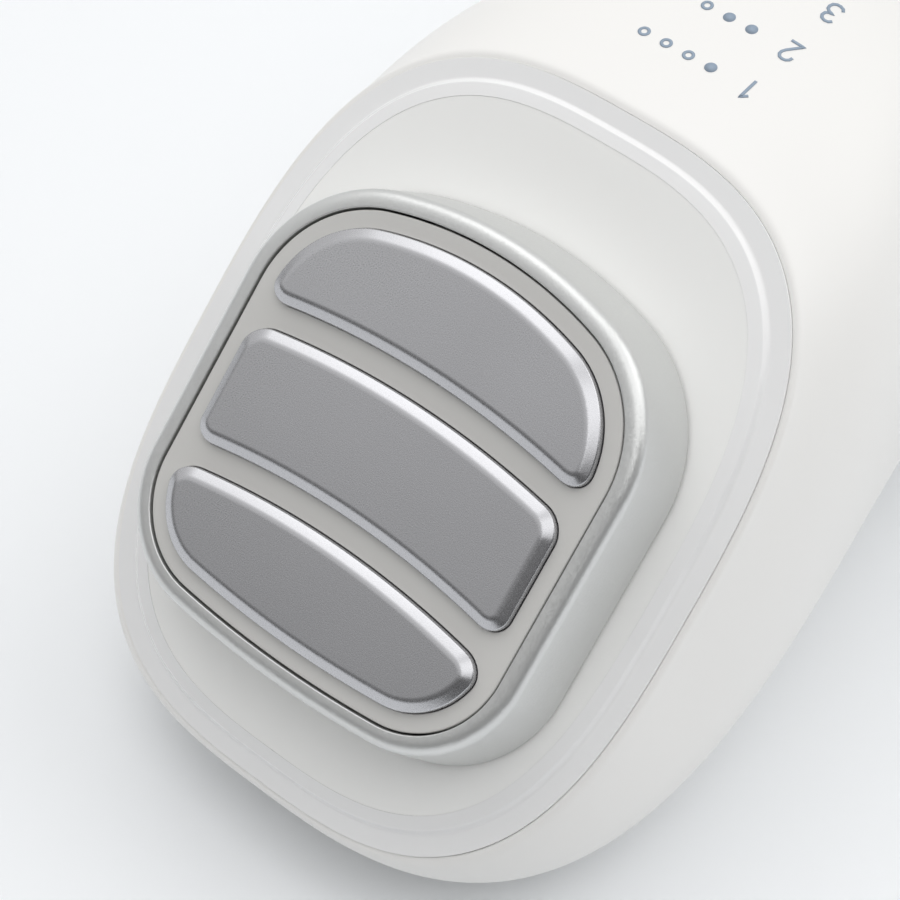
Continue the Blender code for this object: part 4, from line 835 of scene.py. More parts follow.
def insert_end(arc, corner, grow):
    """One quarter of the insert, from its side to its middle line."""
    half = INSERT_HALF_WIDTH
    middle_v = INSERT_HALF_HEIGHT - arc
    corner_v = middle_v + math.sqrt((arc - corner) ** 2 - (half - corner) ** 2)
    turn = math.atan2(corner_v - middle_v, half - corner)
    points = []
    for step in range(ARC_STEPS + 1):
        a = turn * step / ARC_STEPS
        points.append((half - corner + (corner + grow) * math.cos(a), corner_v + (corner + grow) * math.sin(a)))
    for step in range(1, ARC_STEPS + 1):
        a = turn + (math.pi / 2.0 - turn) * step / ARC_STEPS
        points.append(((arc + grow) * math.cos(a), middle_v + (arc + grow) * math.sin(a)))
    return points


def insert_outline(grow):
    """The insert's outline from the middle of its right side, grown by a distance."""
    upper = insert_end(INSERT_TOP_ARC, INSERT_TOP_CORNER, grow)
    lower = [(u, -v) for u, v in reversed(insert_end(INSERT_LOW_ARC, INSERT_LOW_CORNER, grow))]
    left = [(-u, v) for u, v in reversed(upper)][1:] + [(-u, v) for u, v in reversed(lower)]
    return [(INSERT_HALF_WIDTH + grow, 0.0)] + upper + left + lower[1:]


def spaced(points, count):
    """A closed outline walked again in even steps."""
    lengths = [0.0]
    for k in range(len(points)):
        after = points[(k + 1) % len(points)]
        lengths.append(lengths[-1] + math.dist(points[k], after))
    even = []
    k = 0
    for step in range(count):
        goal = lengths[-1] * step / count
        while lengths[k + 1] < goal:
            k += 1
        share = (goal - lengths[k]) / (lengths[k + 1] - lengths[k])
        after = points[(k + 1) % len(points)]
        even.append(tuple(a + (b - a) * share for a, b in zip(points[k], after)))
    return even


def grown(points, grow):
    """An even outline moved out along its normals."""
    moved = []
    for k, (u, v) in enumerate(points):
        before = points[k - 1]
        after = points[(k + 1) % len(points)]
        span = math.dist(before, after)
        moved.append((u + grow * (after[1] - before[1]) / span, v - grow * (after[0] - before[0]) / span))
    return moved


def face_stack(name, outline, profile, closed=False, split_ends=False):
    """A solid of the head over one outline, through (grow, height) steps."""
    rings = [[on_face(u, v, h) for u, v in grown(outline, grow)] for grow, h in profile]
    return solid(name, skin(rings, closed, split_ends))


INSERT_SIDES = 480
insert_even = spaced(insert_outline(0.0), INSERT_SIDES)
print("insert", round(2 * max(u for u, v in insert_even) / MM, 1), "x",
      round((max(v for u, v in insert_even) - min(v for u, v in insert_even)) / MM, 1), "mm")

# %% [markdown]
# ## The deck
# Inside the ring lies a white deck of opal acrylic, which lets the lamps under it shine through. Opal plastic is a
# little softer to the eye than the shell: light goes in and comes out again close by.

# %% Opal deck
DECK_TOP = 0.8 * MM
DECK_THICK = 2.2 * MM
DECK_ROUND = 0.02 * MM
NECK_STEP = 1.5 * MM

opal, tree, shader = grained("opal_acrylic", ("#F8F8F6", "#FBFBF9"), 25.0 * MM, 0.2 * MM, 0.10, (0.36, 0.44))
shader.inputs["IOR"].default_value = 1.49

edge = -RING_BAND - FIT
deck_foot = DECK_TOP - DECK_THICK
deck_profile = eased([((edge, deck_foot), 0.0), ((edge, DECK_TOP), DECK_ROUND), ((edge - DECK_THICK, DECK_TOP), 0.0)])
deck_rings = [ring_points(grow, h, INSERT_SIDES) for grow, h in deck_profile]
neck_hole = grown(insert_even, FIT - NECK_STEP)
deck_rings += [[on_face(u, v, h) for u, v in neck_hole] for h in (DECK_TOP, deck_foot)]
deck = solid("deck_plate_opal", skin(deck_rings, True))
dress(deck, opal, "milk_plastic", "housing", "deck_plate")

# %% [markdown]
# ## The silver bezel
# The raised frame is moulded plastic with a satin silver paint. Such paint holds tiny flakes of aluminium that lie
# at slightly different angles, so bright zones break up into a fine sparkle. The flakes are far finer than a pixel,
# and here they are drawn about a tenth of a millimetre wide so that the sparkle can be seen.

# %% Satin silver paint
FLAKE = 0.11 * MM
FLAKE_LEAN = 0.08

silver, tree, shader = grained("satin_silver_paint", ("#D5D6D5", "#DADBDA"), 12.0 * MM, FLAKE, 0.0, (0.35, 0.43))
place = add(tree, "ShaderNodeTexCoord").outputs["Object"]
flakes = add(tree, "ShaderNodeTexVoronoi", {"Vector": place, "Scale": 1.0 / FLAKE})
lean = add(tree, "ShaderNodeVectorMath", {0: flakes.outputs["Color"], 1: (0.5, 0.5, 0.5)}, operation="SUBTRACT")
small = add(tree, "ShaderNodeVectorMath", {0: lean, "Scale": FLAKE_LEAN}, operation="SCALE")
facing = add(tree, "ShaderNodeNewGeometry").outputs["Normal"]
leaning = add(tree, "ShaderNodeVectorMath", {0: facing, 1: small}, operation="ADD")
upright = add(tree, "ShaderNodeVectorMath", {0: leaning}, operation="NORMALIZE")
tree.links.new(upright.outputs[0], shader.inputs["Normal"])
shader.inputs["Metallic"].default_value = 0.85
print(silver.name, "with flakes of", FLAKE / MM, "mm")

# %% Bezel
INSERT_FACE = 7.6 * MM
BEZEL_FOOT = 2.3 * MM
BEZEL_RIM = 1.5 * MM
BEZEL_CROWN = 0.15 * MM
BEZEL_ROUND = 1.0 * MM
BEZEL_LIP = 0.12 * MM
BEZEL_SEAM = 0.08 * MM

bezel_foot = DECK_TOP + FIT
bezel_top = INSERT_FACE + BEZEL_CROWN
profile = eased([((BEZEL_SEAM, bezel_foot), 0.0), ((BEZEL_FOOT, bezel_foot), 0.0),
                 ((BEZEL_RIM, bezel_top), BEZEL_ROUND), ((BEZEL_SEAM, bezel_top), BEZEL_LIP),
                 ((BEZEL_SEAM, INSERT_FACE - BEZEL_LIP), 0.0)])
bezel = face_stack("bezel_frame", insert_even, profile, True)
dress(bezel, silver, "silver_paint", "housing", "bezel")

# %% [markdown]
# ## The contact plates
# Three plates of stainless steel, blasted with fine glass beads: a dull, even sheen, with a rounded edge that catches
# the softbox as a bright line. Each outline is drawn from the insert's outline and from two bowed gaps, and then its
# corners are rounded along the tangents of the two sides that meet there.

# %% Bead-blasted steel
BLAST = 0.09 * MM

steel, tree, shader = grained("bead_blasted_stainless_steel", ("#BEBEC1", "#C4C4C7"), 9.0 * MM, BLAST, 0.45, (0.22, 0.31))
shader.inputs["Metallic"].default_value = 1.0
print(steel.name, "with dimples of", BLAST / MM, "mm")

# %% Plate outlines
PLATE_MARGIN = 1.55 * MM
PLATE_SAG = 1.45 * MM
UPPER_GAP = 4.4 * MM
LOWER_GAP = -7.6 * MM
GAP_WIDTH = 2.1 * MM
CORNER_REACH = 1.8 * MM
CORNER_STEPS = 16
CORNER_PULL = 0.56
GAP_STEPS = 120


def gap_arc(end_v):
    """The bowed edge of a plate, from its left end to its right."""
    half = INSERT_HALF_WIDTH - PLATE_MARGIN
    radius = (half * half + PLATE_SAG * PLATE_SAG) / (2.0 * PLATE_SAG)
    spread_turn = math.asin(half / radius)
    points = []
    for step in range(GAP_STEPS + 1):
        a = spread_turn * (2.0 * step / GAP_STEPS - 1.0)
        points.append((radius * math.sin(a), end_v + PLATE_SAG - radius + radius * math.cos(a)))
    return points


def crossing(a, a_way, b, b_way):
    """Where two lines meet, each given by a point and a direction."""
    turn = a_way[0] * b_way[1] - a_way[1] * b_way[0]
    share = ((b[0] - a[0]) * b_way[1] - (b[1] - a[1]) * b_way[0]) / turn
    return a[0] + a_way[0] * share, a[1] + a_way[1] * share


def rounded(points, corners, reach):
    """A closed outline whose sharp corners are replaced by curves along the tangents."""
    count = len(points)
    made = []
    taken = set()
    for corner in corners:
        first = corner
        while math.dist(points[first % count], points[corner]) < reach:
            taken.add(first % count)
            first -= 1
        last = corner
        while math.dist(points[last % count], points[corner]) < reach:
            taken.add(last % count)
            last += 1
        a, a_before = points[first % count], points[(first - 1) % count]
        b, b_after = points[last % count], points[(last + 1) % count]
        middle = crossing(a, (a[0] - a_before[0], a[1] - a_before[1]), b, (b[0] - b_after[0], b[1] - b_after[1]))
        curve = []
        for step in range(1, CORNER_STEPS):
            curve.append(tuple(bezier(p, p + (q - p) * CORNER_PULL, r + (q - r) * CORNER_PULL, r, step / CORNER_STEPS)
                               for p, q, r in zip(a, middle, b)))
        made.append((corner, curve))
    outline = []
    curves = dict(made)
    for k in range(count):
        if k in curves:
            outline += curves[k]
        elif k not in taken:
            outline.append(points[k])
    return outline


def rim_between(low, high):
    """The stretch of the plates' outer outline between two heights, on the right and on the left."""
    points = spaced(insert_outline(-PLATE_MARGIN), 4 * INSERT_SIDES)
    right_side = [p for p in points if p[0] > 0.0 and low < p[1] < high]
    left_side = [p for p in points if p[0] <= 0.0 and low < p[1] < high]
    return sorted(right_side, key=lambda p: p[1]), sorted(left_side, key=lambda p: -p[1])


def plate_outline(which):
    """The outline of the upper, middle or lower contact plate, against the clock."""
    half_gap = GAP_WIDTH / 2.0
    if which == "middle":
        low = gap_arc(LOWER_GAP + half_gap)
        high = gap_arc(UPPER_GAP - half_gap)[::-1]
        right_side, left_side = rim_between(low[-1][1], high[0][1])
        points = low + right_side + high + left_side
        corners = [0, len(low) - 1, len(low) + len(right_side), len(low) + len(right_side) + len(high) - 1]
    elif which == "upper":
        low = gap_arc(UPPER_GAP + half_gap)
        points = low + [p for p in spaced(insert_outline(-PLATE_MARGIN), 4 * INSERT_SIDES) if p[1] > low[0][1]]
        corners = [0, len(low) - 1]
    else:
        high = gap_arc(LOWER_GAP - half_gap)[::-1]
        rim = [p for p in spaced(insert_outline(-PLATE_MARGIN), 4 * INSERT_SIDES) if p[1] < high[0][1]]
        points = high + sorted(rim, key=lambda p: math.atan2(p[1] - high[0][1], p[0]))
        corners = [0, len(high) - 1]
    return spaced(rounded(points, corners, CORNER_REACH), INSERT_SIDES)


# %% Contact plates
PLATE_PROUD = 1.0 * MM
PLATE_POCKET = 0.7 * MM
PLATE_BEVEL = 0.86 * MM
PLATE_DROP = 0.45 * MM
PLATE_CREASE = 0.26 * MM
PLATE_LAND = 0.05 * MM
STUD_RADIUS = 1.5 * MM
STUD_FOOT = 1.0 * MM
PLATES = ("upper", "middle", "lower")
outlines = {which: plate_outline(which) for which in PLATES}
plate_foot = INSERT_FACE - PLATE_POCKET + FIT
plate_top = INSERT_FACE + PLATE_PROUD


def face_post(name, u, v, radius, low, high):
    """A round solid that stands on the face plane."""
    turns = [2.0 * math.pi * k / 32 for k in range(32)]
    circle = [(u + radius * math.cos(a), v + radius * math.sin(a)) for a in turns]
    return solid(name, skin([[on_face(a, b, h) for a, b in circle] for h in (low, high)], False))


def stud_place(which):
    """Where a plate's stud stands on the face's middle line, right over its contact pin."""
    low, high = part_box("contact_pin_" + which)
    return ((low + high) / 2.0 - FACE_MIDDLE).dot(Vector((0.0, math.cos(FACE_TILT), math.sin(FACE_TILT))))


for which in PLATES:
    profile = eased([((0.0, plate_foot), 0.0), ((0.0, plate_top - PLATE_DROP), PLATE_CREASE / 2.0),
                     ((-PLATE_BEVEL, plate_top), PLATE_CREASE),
                     ((-PLATE_BEVEL - PLATE_CREASE - PLATE_LAND, plate_top), 0.0)])
    plate = face_stack("contact_plate_" + which, outlines[which], profile, split_ends=True)
    stud = face_post("stud", 0.0, stud_place(which), STUD_RADIUS, STUD_FOOT, plate_foot + PLATE_PROUD / 2.0)
    carve(plate, [stud], "UNION")
    dress(plate, steel, "contact_steel", "housing", "electrode_" + which)

# %% [markdown]
# ## The grey insert
# The plates sit in pockets of a grey insert, moulded with a fine texture. Round each plate runs a narrow gap, which
# the eye reads as a dark line, and the insert's own edge is slightly rounded against the bezel.

# %% Grey insert
INSERT_EDGE = 0.15 * MM
INSERT_WALL = 1.6 * MM
INSERT_ROOF = 1.8 * MM
NECK_SHOULDER = 2.4 * MM
PLATE_SEAM = 0.06 * MM
POCKET_EDGE = 0.05 * MM
HEAD_BOSS_RADIUS = 2.3 * MM
HEAD_SCREW_GRIP = 6.0 * MM
HEAD_BOSSES = [(u * MM, v * MM) for v in (8.6, -10.6) for u in (-11.4, 11.4)]

grey, tree, shader = grained("moulded_grey_abs", ("#CECDCA", "#D3D2CF"), 15.0 * MM, 0.16 * MM, 0.12, (0.40, 0.48))
shader.inputs["IOR"].default_value = 1.53

stack_foot = -SEAT_DEPTH - SEAT_THICK
side = -BEZEL_SEAM
roof = INSERT_FACE - INSERT_ROOF
profile = eased([((-NECK_STEP, stack_foot), 0.0), ((-NECK_STEP, NECK_SHOULDER), 0.0), ((side, NECK_SHOULDER), 0.0),
                 ((side, INSERT_FACE), INSERT_EDGE), ((side - 2.0 * INSERT_EDGE, INSERT_FACE), 0.0)])
insert = face_stack("electrode_insert", insert_even, profile)
hollow = -NECK_STEP - INSERT_WALL
carve(insert, [face_stack("hollow", insert_even, [(hollow, stack_foot - OVERCUT), (hollow, roof)])])
carve(insert, [face_post("boss", u, v, HEAD_BOSS_RADIUS, stack_foot, roof + INSERT_ROOF / 3.0)
               for u, v in HEAD_BOSSES], "UNION")
cutters = [face_post("screw_hole", u, v, SCREW_RADIUS + FIT, stack_foot - OVERCUT,
                     stack_foot + HEAD_SCREW_GRIP + OVERCUT) for u, v in HEAD_BOSSES]
mouth = [(PLATE_SEAM, INSERT_FACE - PLATE_POCKET), (PLATE_SEAM, INSERT_FACE - POCKET_EDGE),
         (PLATE_SEAM + POCKET_EDGE, INSERT_FACE), (PLATE_SEAM + 2.0 * POCKET_EDGE, INSERT_FACE + POCKET_EDGE)]
for which in PLATES:
    cutters.append(face_stack("pocket", outlines[which], mouth, split_ends=True))
    cutters.append(face_post("stud_hole", 0.0, stud_place(which), STUD_RADIUS + FIT, roof - OVERCUT, INSERT_FACE))
carve(insert, cutters)
dress(insert, grey, "grey_plastic", "housing", "electrode_carrier")

# %% [markdown]
# ## The buttons
# Three buttons of the same silver-painted plastic stand a little proud of the handle. A cap has a soft edge and a
# shallow dish that a fingertip finds, a flange under the skin that keeps it in, and a stem down to its switch. The
# skin slopes along the handle, so a button is drawn level and then tipped by the slope at its place.

# %% Buttons
BUTTON_PROUD = 0.8 * MM
BUTTON_EDGE = 0.45 * MM
BUTTON_DISH = 0.25 * MM
BUTTON_FLANGE = 1.1 * MM
BUTTON_FLANGE_THICK = 1.0 * MM
BUTTON_DROP = 1.0 * MM
BUTTON_TRAVEL = 0.5 * MM
STEM_RADIUS = 1.4 * MM
DISH_STEPS = 14
SLOPE_STEP = 0.5 * MM
CONTROLS = {"mode": (MODE_Y, MODE_HALF), "level": (LEVEL_Y, LEVEL_HALF), "power": (POWER_Y, POWER_HALF)}


def skin_pitch(y):
    """The slope of the handle's top line at a place along it."""
    return math.atan2(handle_z(y + SLOPE_STEP)[0] - handle_z(y - SLOPE_STEP)[0], 2.0 * SLOPE_STEP)


def button_profile(which):
    """A button's profile as (grow, height) steps, from its stem to the middle of its dish."""
    y, half = CONTROLS[which]
    top = top_at(0.0, y, 0.0)
    stem = STEM_RADIUS - half[1]
    stem_foot = (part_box(which + "_switch")[1].z + FIT + BUTTON_TRAVEL - top) / math.cos(skin_pitch(y))
    flange_top = top_at(half[0] + BUTTON_FLANGE, y, WALL) - top - FIT - BUTTON_DROP
    flange_foot = flange_top - BUTTON_FLANGE_THICK
    steps = [(stem, stem_foot), (stem, flange_foot), (BUTTON_FLANGE, flange_foot), (BUTTON_FLANGE, flange_top)]
    rim = -2.0 * BUTTON_EDGE
    steps += eased([((0.0, flange_top), 0.0), ((0.0, BUTTON_PROUD), BUTTON_EDGE), ((rim, BUTTON_PROUD), 0.0)])
    middle = SLOPE_STEP - half[1]
    for step in range(1, DISH_STEPS + 1):
        t = step / DISH_STEPS
        steps.append((rim + (middle - rim) * t, BUTTON_PROUD - BUTTON_DISH * math.sin(math.pi / 2.0 * t) ** 2))
    return steps


buttons = {}
for which, (y, half) in CONTROLS.items():
    tip = Matrix.Rotation(skin_pitch(y), 3, "X")
    origin = Vector((0.0, DEVICE_Y + y, top_at(0.0, y, 0.0)))
    rings = [[origin + tip @ Vector((u, v, h)) for u, v in button_oval(half, grow)] for grow, h in button_profile(which)]
    buttons[which] = solid(which + "_button_cap", skin(rings, False))
    dress(buttons[which], silver, "silver_paint", which + "_button", which + "_button")

# %% [markdown]
# ## The level light
# Behind the buttons a slim window of the same light guide acrylic lies flush with the skin. Its foot is flat, over the
# lamp on the key board, and its top follows the handle's curve.

# %% Level window
LENS_SEAM = 0.1 * MM
LENS_SINK = 0.05 * MM
LENS_ROUND = 0.15 * MM

lens_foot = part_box("level_lens")[0].z
lens_side = FIT - LENS_SEAM
lens_profile = eased([((lens_side, -LENS_SINK - WALL), 0.0), ((lens_side, -LENS_SINK), LENS_ROUND),
                      ((lens_side - 2.0 * LENS_ROUND, -LENS_SINK), 0.0), ((-LENS_HALF[1] / 2.0, -LENS_SINK), 0.0)])
flat_foot = [(x, DEVICE_Y + LENS_Y + v, lens_foot) for x, v in button_oval(LENS_HALF, 0.0)]
lens_rings = [flat_foot]
for grow, h in lens_profile:
    lens_rings.append([(x, DEVICE_Y + LENS_Y + v, top_at(x, LENS_Y + v, 0.0) + h) for x, v in button_oval(LENS_HALF, grow)])
lens = solid("level_window", skin(lens_rings, False))
dress(lens, clear, "clear_acrylic", "housing", "level_lens")

# %% [markdown]
# ## The tail and its charging inlet
# A small white plate closes the tail. The inlet in it is a folded shell of nickel-plated steel round a tongue, and a
# lead-in round the slot guides the plug. Bright nickel is a clean, slightly warm mirror with faint rolling marks.

# %% Tail plate
TAIL_PLATE_THICK = 3.0 * MM
TAIL_MIDDLE = (TAIL_TOP + TAIL_UNDER) / 2.0
PLUG_HALF_WIDTH = 4.5 * MM
PLUG_HALF_HEIGHT = 1.65 * MM
PLUG_STEPS = 20
BOARD_THICK = 1.2 * MM
SHELF_HALF_WIDTH = 5.0 * MM
SHELF_LENGTH = 11.0 * MM
SHELF_THICK = 1.4 * MM


def tail_stack(name, outline, profile):
    """A solid along the handle over an upright outline, through (grow, distance) steps."""
    rings = [[(x, DEVICE_Y + y, TAIL_MIDDLE + v) for x, v in outline(grow)] for grow, y in profile]
    return solid(name, skin(rings, False))


def plug_outline(grow):
    """The inlet's outline: a flat bar with round ends."""
    straight = PLUG_HALF_WIDTH - PLUG_HALF_HEIGHT
    reach = PLUG_HALF_HEIGHT + grow
    points = []
    for end in (1.0, -1.0):
        for step in range(PLUG_STEPS + 1):
            a = math.pi * (step / PLUG_STEPS - 0.5)
            points.append((end * (straight + reach * math.cos(a)), end * reach * math.sin(a)))
    return points


def tail_outline(grow):
    """The tail plate's outline."""
    up = (TAIL_TOP - TAIL_UNDER) / 2.0 - WALL - FIT + grow
    return oval(TAIL_HALF_WIDTH - WALL - FIT + grow, up, up, HANDLE_POWER, HANDLE_POWER, AROUND)


inside = TAIL_END - TAIL_PLATE_THICK
tail = tail_stack("tail_plate_cap", tail_outline, eased([((0.0, inside), 0.0), ((0.0, TAIL_END), RIM_ROUND),
                                                          ((-2.0 * RIM_ROUND, TAIL_END), 0.0)]))
shelf_top = TAIL_MIDDLE - PLUG_HALF_HEIGHT - FIT - BOARD_THICK - FIT
carve(tail, [slab("shelf", (-SHELF_HALF_WIDTH, DEVICE_Y + inside - SHELF_LENGTH, shelf_top - SHELF_THICK),
                  (SHELF_HALF_WIDTH, DEVICE_Y + inside + TAIL_PLATE_THICK / 2.0, shelf_top))], "UNION")
carve(tail, [tail_stack("slot", plug_outline, [(FIT, inside - TAIL_PLATE_THICK), (FIT, TAIL_END - RIM_ROUND),
                                               (FIT + RIM_ROUND, TAIL_END), (FIT + 2.0 * RIM_ROUND, TAIL_END + RIM_ROUND)])])
dress(tail, white_abs, "white_plastic", "housing", "tail_plate")

# %% Charging socket
SOCKET_LENGTH = 8.0 * MM
SOCKET_WALL = 0.35 * MM
SOCKET_EDGE = 0.12 * MM
TONGUE_HALF_WIDTH = 3.0 * MM
TONGUE_THICK = 0.7 * MM

nickel, tree, shader = grained("nickel_plated_steel", ("#BDB9B2", "#C4C0B9"), 5.0 * MM, 0.4 * MM, 0.06, (0.18, 0.27))
shader.inputs["Metallic"].default_value = 1.0

mouth_y = TAIL_END - FIT
back_y = mouth_y - SOCKET_LENGTH
socket = tail_stack("charge_socket_shell", plug_outline, eased([((0.0, back_y), 0.0), ((0.0, mouth_y), SOCKET_EDGE),
                                                                ((-SOCKET_WALL, mouth_y), 0.0)]))
carve(socket, [tail_stack("hollow", plug_outline, [(-SOCKET_WALL, back_y + OVERCUT), (-SOCKET_WALL, mouth_y + OVERCUT)])])
carve(socket, [slab("tongue", (-TONGUE_HALF_WIDTH, DEVICE_Y + back_y + OVERCUT / 2.0, TAIL_MIDDLE - TONGUE_THICK / 2.0),
                    (TONGUE_HALF_WIDTH, DEVICE_Y + mouth_y - 2.0 * OVERCUT, TAIL_MIDDLE + TONGUE_THICK / 2.0))], "UNION")
dress(socket, nickel, "motor_steel", "housing", "charge_socket")

# %% [markdown]
# ## The cover's screws
# Four cross-head screws of zinc-plated steel hold the rear cover. They are all alike but for their length and for how
# far each was turned, so a node tree sets one head and one stretched shank on every point. The screws are pieces of
# their own on the device, yet they all ride the housing, so one mesh holds them.

# %% Screws at points
HEAD_SIDES = 40
CROSS_WIDTH = 0.55 * MM
CROSS_REACH = 1.15 * MM
CROSS_DEPTH = 0.7 * MM
HEAD_LAP = 0.3 * MM
TURN_SEED = 4

zinc, tree, shader = grained("zinc_plated_steel", ("#B3B5B8", "#BCBEC1"), 2.5 * MM, 0.12 * MM, 0.15, (0.28, 0.40))
shader.inputs["Metallic"].default_value = 1.0

head_steps = eased([((0.6 * SCREW_HEAD_RADIUS, -SCREW_HEAD_THICK), 0.0),
                    ((SCREW_HEAD_RADIUS, -SCREW_HEAD_THICK), 0.35 * SCREW_HEAD_RADIUS), ((SCREW_HEAD_RADIUS, 0.0), 0.0)])
head = post("screw_head", 0.0, -DEVICE_Y, head_steps, HEAD_SIDES)
low_face = -SCREW_HEAD_THICK
carve(head, [slab("cross", (-a, -b, low_face - OVERCUT), (a, b, low_face + CROSS_DEPTH))
             for a, b in ((CROSS_REACH, CROSS_WIDTH / 2.0), (CROSS_WIDTH / 2.0, CROSS_REACH))])

driver = new_group("screws_at_points")
head_socket = input_socket(driver, "Head", "NodeSocketObject")
input_socket(driver, "Shank radius", "NodeSocketFloat", SCREW_RADIUS)
input_socket(driver, "Head lap", "NodeSocketFloat", HEAD_LAP)
given = add(driver, "NodeGroupInput").outputs
one_head = add(driver, "GeometryNodeObjectInfo", {"Object": given["Head"]}).outputs["Geometry"]
turned = add(driver, "FunctionNodeRandomValue", {0: (0.0, 0.0, 0.0), 1: (0.0, 0.0, math.pi), "Seed": TURN_SEED},
             data_type="FLOAT_VECTOR")
heads = add(driver, "GeometryNodeInstanceOnPoints", {"Points": given["Geometry"], "Instance": one_head,
                                                     "Rotation": turned})
grip = add(driver, "GeometryNodeInputNamedAttribute", {"Name": "grip"}, data_type="FLOAT")
shank_length = add(driver, "ShaderNodeMath", {0: grip, 1: given["Head lap"]}, operation="ADD")
stretch = add(driver, "ShaderNodeCombineXYZ", {0: 1.0, 1: 1.0, 2: shank_length})
sunk = add(driver, "ShaderNodeMath", {0: given["Head lap"], 1: -1.0}, operation="MULTIPLY")
start = add(driver, "GeometryNodeSetPosition", {"Geometry": given["Geometry"],
                                                "Offset": add(driver, "ShaderNodeCombineXYZ", {2: sunk})})
shank = add(driver, "GeometryNodeMeshCylinder", {"Vertices": 32, "Radius": given["Shank radius"], "Depth": 1.0})
standing = add(driver, "GeometryNodeTransform", {"Geometry": shank, "Translation": (0.0, 0.0, 0.5)})
shanks = add(driver, "GeometryNodeInstanceOnPoints", {"Points": start, "Instance": standing, "Scale": stretch})
joined = add(driver, "GeometryNodeJoinGeometry", {0: heads})
driver.links.new(shanks.outputs[0], joined.inputs[0])
close_group(driver, joined, zinc)

seats = [(x, DEVICE_Y + y, under_at(x, y, 0.0) + COVER_HEAD_DEPTH + SCREW_HEAD_THICK) for x, y in POST_PLACES]
points = bpy.data.meshes.new("cover_screws")
points.from_pydata(seats, [], [])
lengths = points.attributes.new("grip", "FLOAT", "POINT")
for k, seat in enumerate(seats):
    lengths.data[k].value = POST_FOOT + SCREW_GRIP - FIT - seat[2]
screws = bpy.data.objects.new("cover_screws", points)
bpy.context.scene.collection.objects.link(screws)
grow_nodes(screws, driver, {head_socket: head})
bpy.data.objects.remove(head)
dress(screws, zinc, "screw_steel", "housing", *("cover_screw_" + str(k) for k in range(1, 5)))

# %% [markdown]
# ## Printed marks
# The handle is pad-printed in a blue-grey ink where it meets the head, one row for each mode. Here a row is a plain
# number and four small dots, as many of them full as the number says. The buttons carry common signs: three dots, a
# rising row of bars and the on-off sign. A print has no thickness of its own, so flat marks are drawn high above the
# device, and a node tree drops every point straight down onto the curved skin. The ink is then a film of a few
# hundredths of a millimetre.

# %% Flat marks
INK_WIDTH = 0.26 * MM
PRINT_HEIGHT = 80.0 * MM
STROKE_STEP = 0.12 * MM
MITRE_LIMIT = 1.6
ROWS_Y = (29.45 * MM, 34.5 * MM, 39.8 * MM, 45.0 * MM)
ROW_START = 6.4 * MM
CAP_HEIGHT = 2.0 * MM
DOT_RADIUS = 0.5 * MM
DOT_PITCH = 2.1 * MM
DIGITS = {1: [(0.14, 0.78), (0.36, 1.0), (0.36, 0.0)],
          2: [(0.03, 0.72), (0.07, 0.87), (0.18, 0.97), (0.32, 1.0), (0.46, 0.96), (0.55, 0.84), (0.55, 0.69),
              (0.47, 0.54), (0.04, 0.0), (0.6, 0.0)],
          3: [(0.04, 0.84), (0.14, 0.96), (0.29, 1.0), (0.45, 0.95), (0.53, 0.82), (0.51, 0.66), (0.4, 0.56),
              (0.24, 0.54), (0.42, 0.51), (0.55, 0.41), (0.58, 0.27), (0.53, 0.11), (0.4, 0.02), (0.25, 0.0),
              (0.1, 0.05), (0.01, 0.17)],
          4: [(0.46, 0.0), (0.46, 1.0), (0.0, 0.3), (0.62, 0.3)]}


def circle(middle, radius, count, start=0.0, turn=2.0 * math.pi):
    """Points along a circle or a part of it."""
    return [(middle[0] + radius * math.cos(start + turn * k / count), middle[1] + radius * math.sin(start + turn * k / count))
            for k in range(count)]


def subdivided(points):
    """A line with more points on its long stretches."""
    made = [points[0]]
    for a, b in zip(points, points[1:]):
        pieces = max(1, round(math.dist(a, b) / STROKE_STEP))
        made += [tuple(p + (q - p) * k / pieces for p, q in zip(a, b)) for k in range(1, pieces + 1)]
    return made


def stroke(bm, place, points, closed=False):
    """A flat band of ink along a line, with mitred corners."""
    line = points if closed else subdivided(points)
    count = len(line)
    pairs = []
    for k, point in enumerate(line):
        here = Vector(point)
        before = here - Vector(line[k - 1]) if k or closed else Vector(line[1]) - here
        after = Vector(line[(k + 1) % count]) - here if k + 1 < count or closed else before
        way = (before.normalized() + after.normalized()).normalized()
        reach = INK_WIDTH / 2.0 * min(1.0 / way.dot(after.normalized()), MITRE_LIMIT)
        side = Vector((-way.y, way.x)) * reach
        pairs.append([bm.verts.new(place(*(here + side))), bm.verts.new(place(*(here - side)))])
    for k in range(count if closed else count - 1):
        a, b = pairs[k], pairs[(k + 1) % count]
        bm.faces.new((a[0], a[1], b[1], b[0]))


def spot_of_ink(bm, place, middle, radius):
    """A full dot."""
    bm.faces.new([bm.verts.new(place(*point)) for point in circle(middle, radius, 24)])


def placed(y):
    """A function that lays flat marks over a place on the handle, to be read from behind the handle."""
    return lambda a, b: (-a, DEVICE_Y + y - b, PRINT_HEIGHT)


flat = {"handle": bmesh.new(), "mode": bmesh.new(), "level": bmesh.new(), "power": bmesh.new()}
for number, row_y in enumerate(ROWS_Y, 1):
    place = placed(row_y)
    stroke(flat["handle"], place, [(a * CAP_HEIGHT - ROW_START, (b - 0.5) * CAP_HEIGHT) for a, b in DIGITS[number]])
    for k in range(4):
        middle = (2.0 * DOT_PITCH - ROW_START + k * DOT_PITCH, 0.0)
        if k < number:
            spot_of_ink(flat["handle"], place, middle, DOT_RADIUS)
        else:
            stroke(flat["handle"], place, circle(middle, DOT_RADIUS - INK_WIDTH / 2.0, 24), True)
for k in (-1, 0, 1):
    spot_of_ink(flat["mode"], placed(MODE_Y), (1.8 * MM * k, 0.0), DOT_RADIUS)
    bar = 0.9 * MM * k
    stroke(flat["level"], placed(LEVEL_Y), [(bar, -0.9 * MM), (bar, 0.15 * MM + 0.7 * bar)])
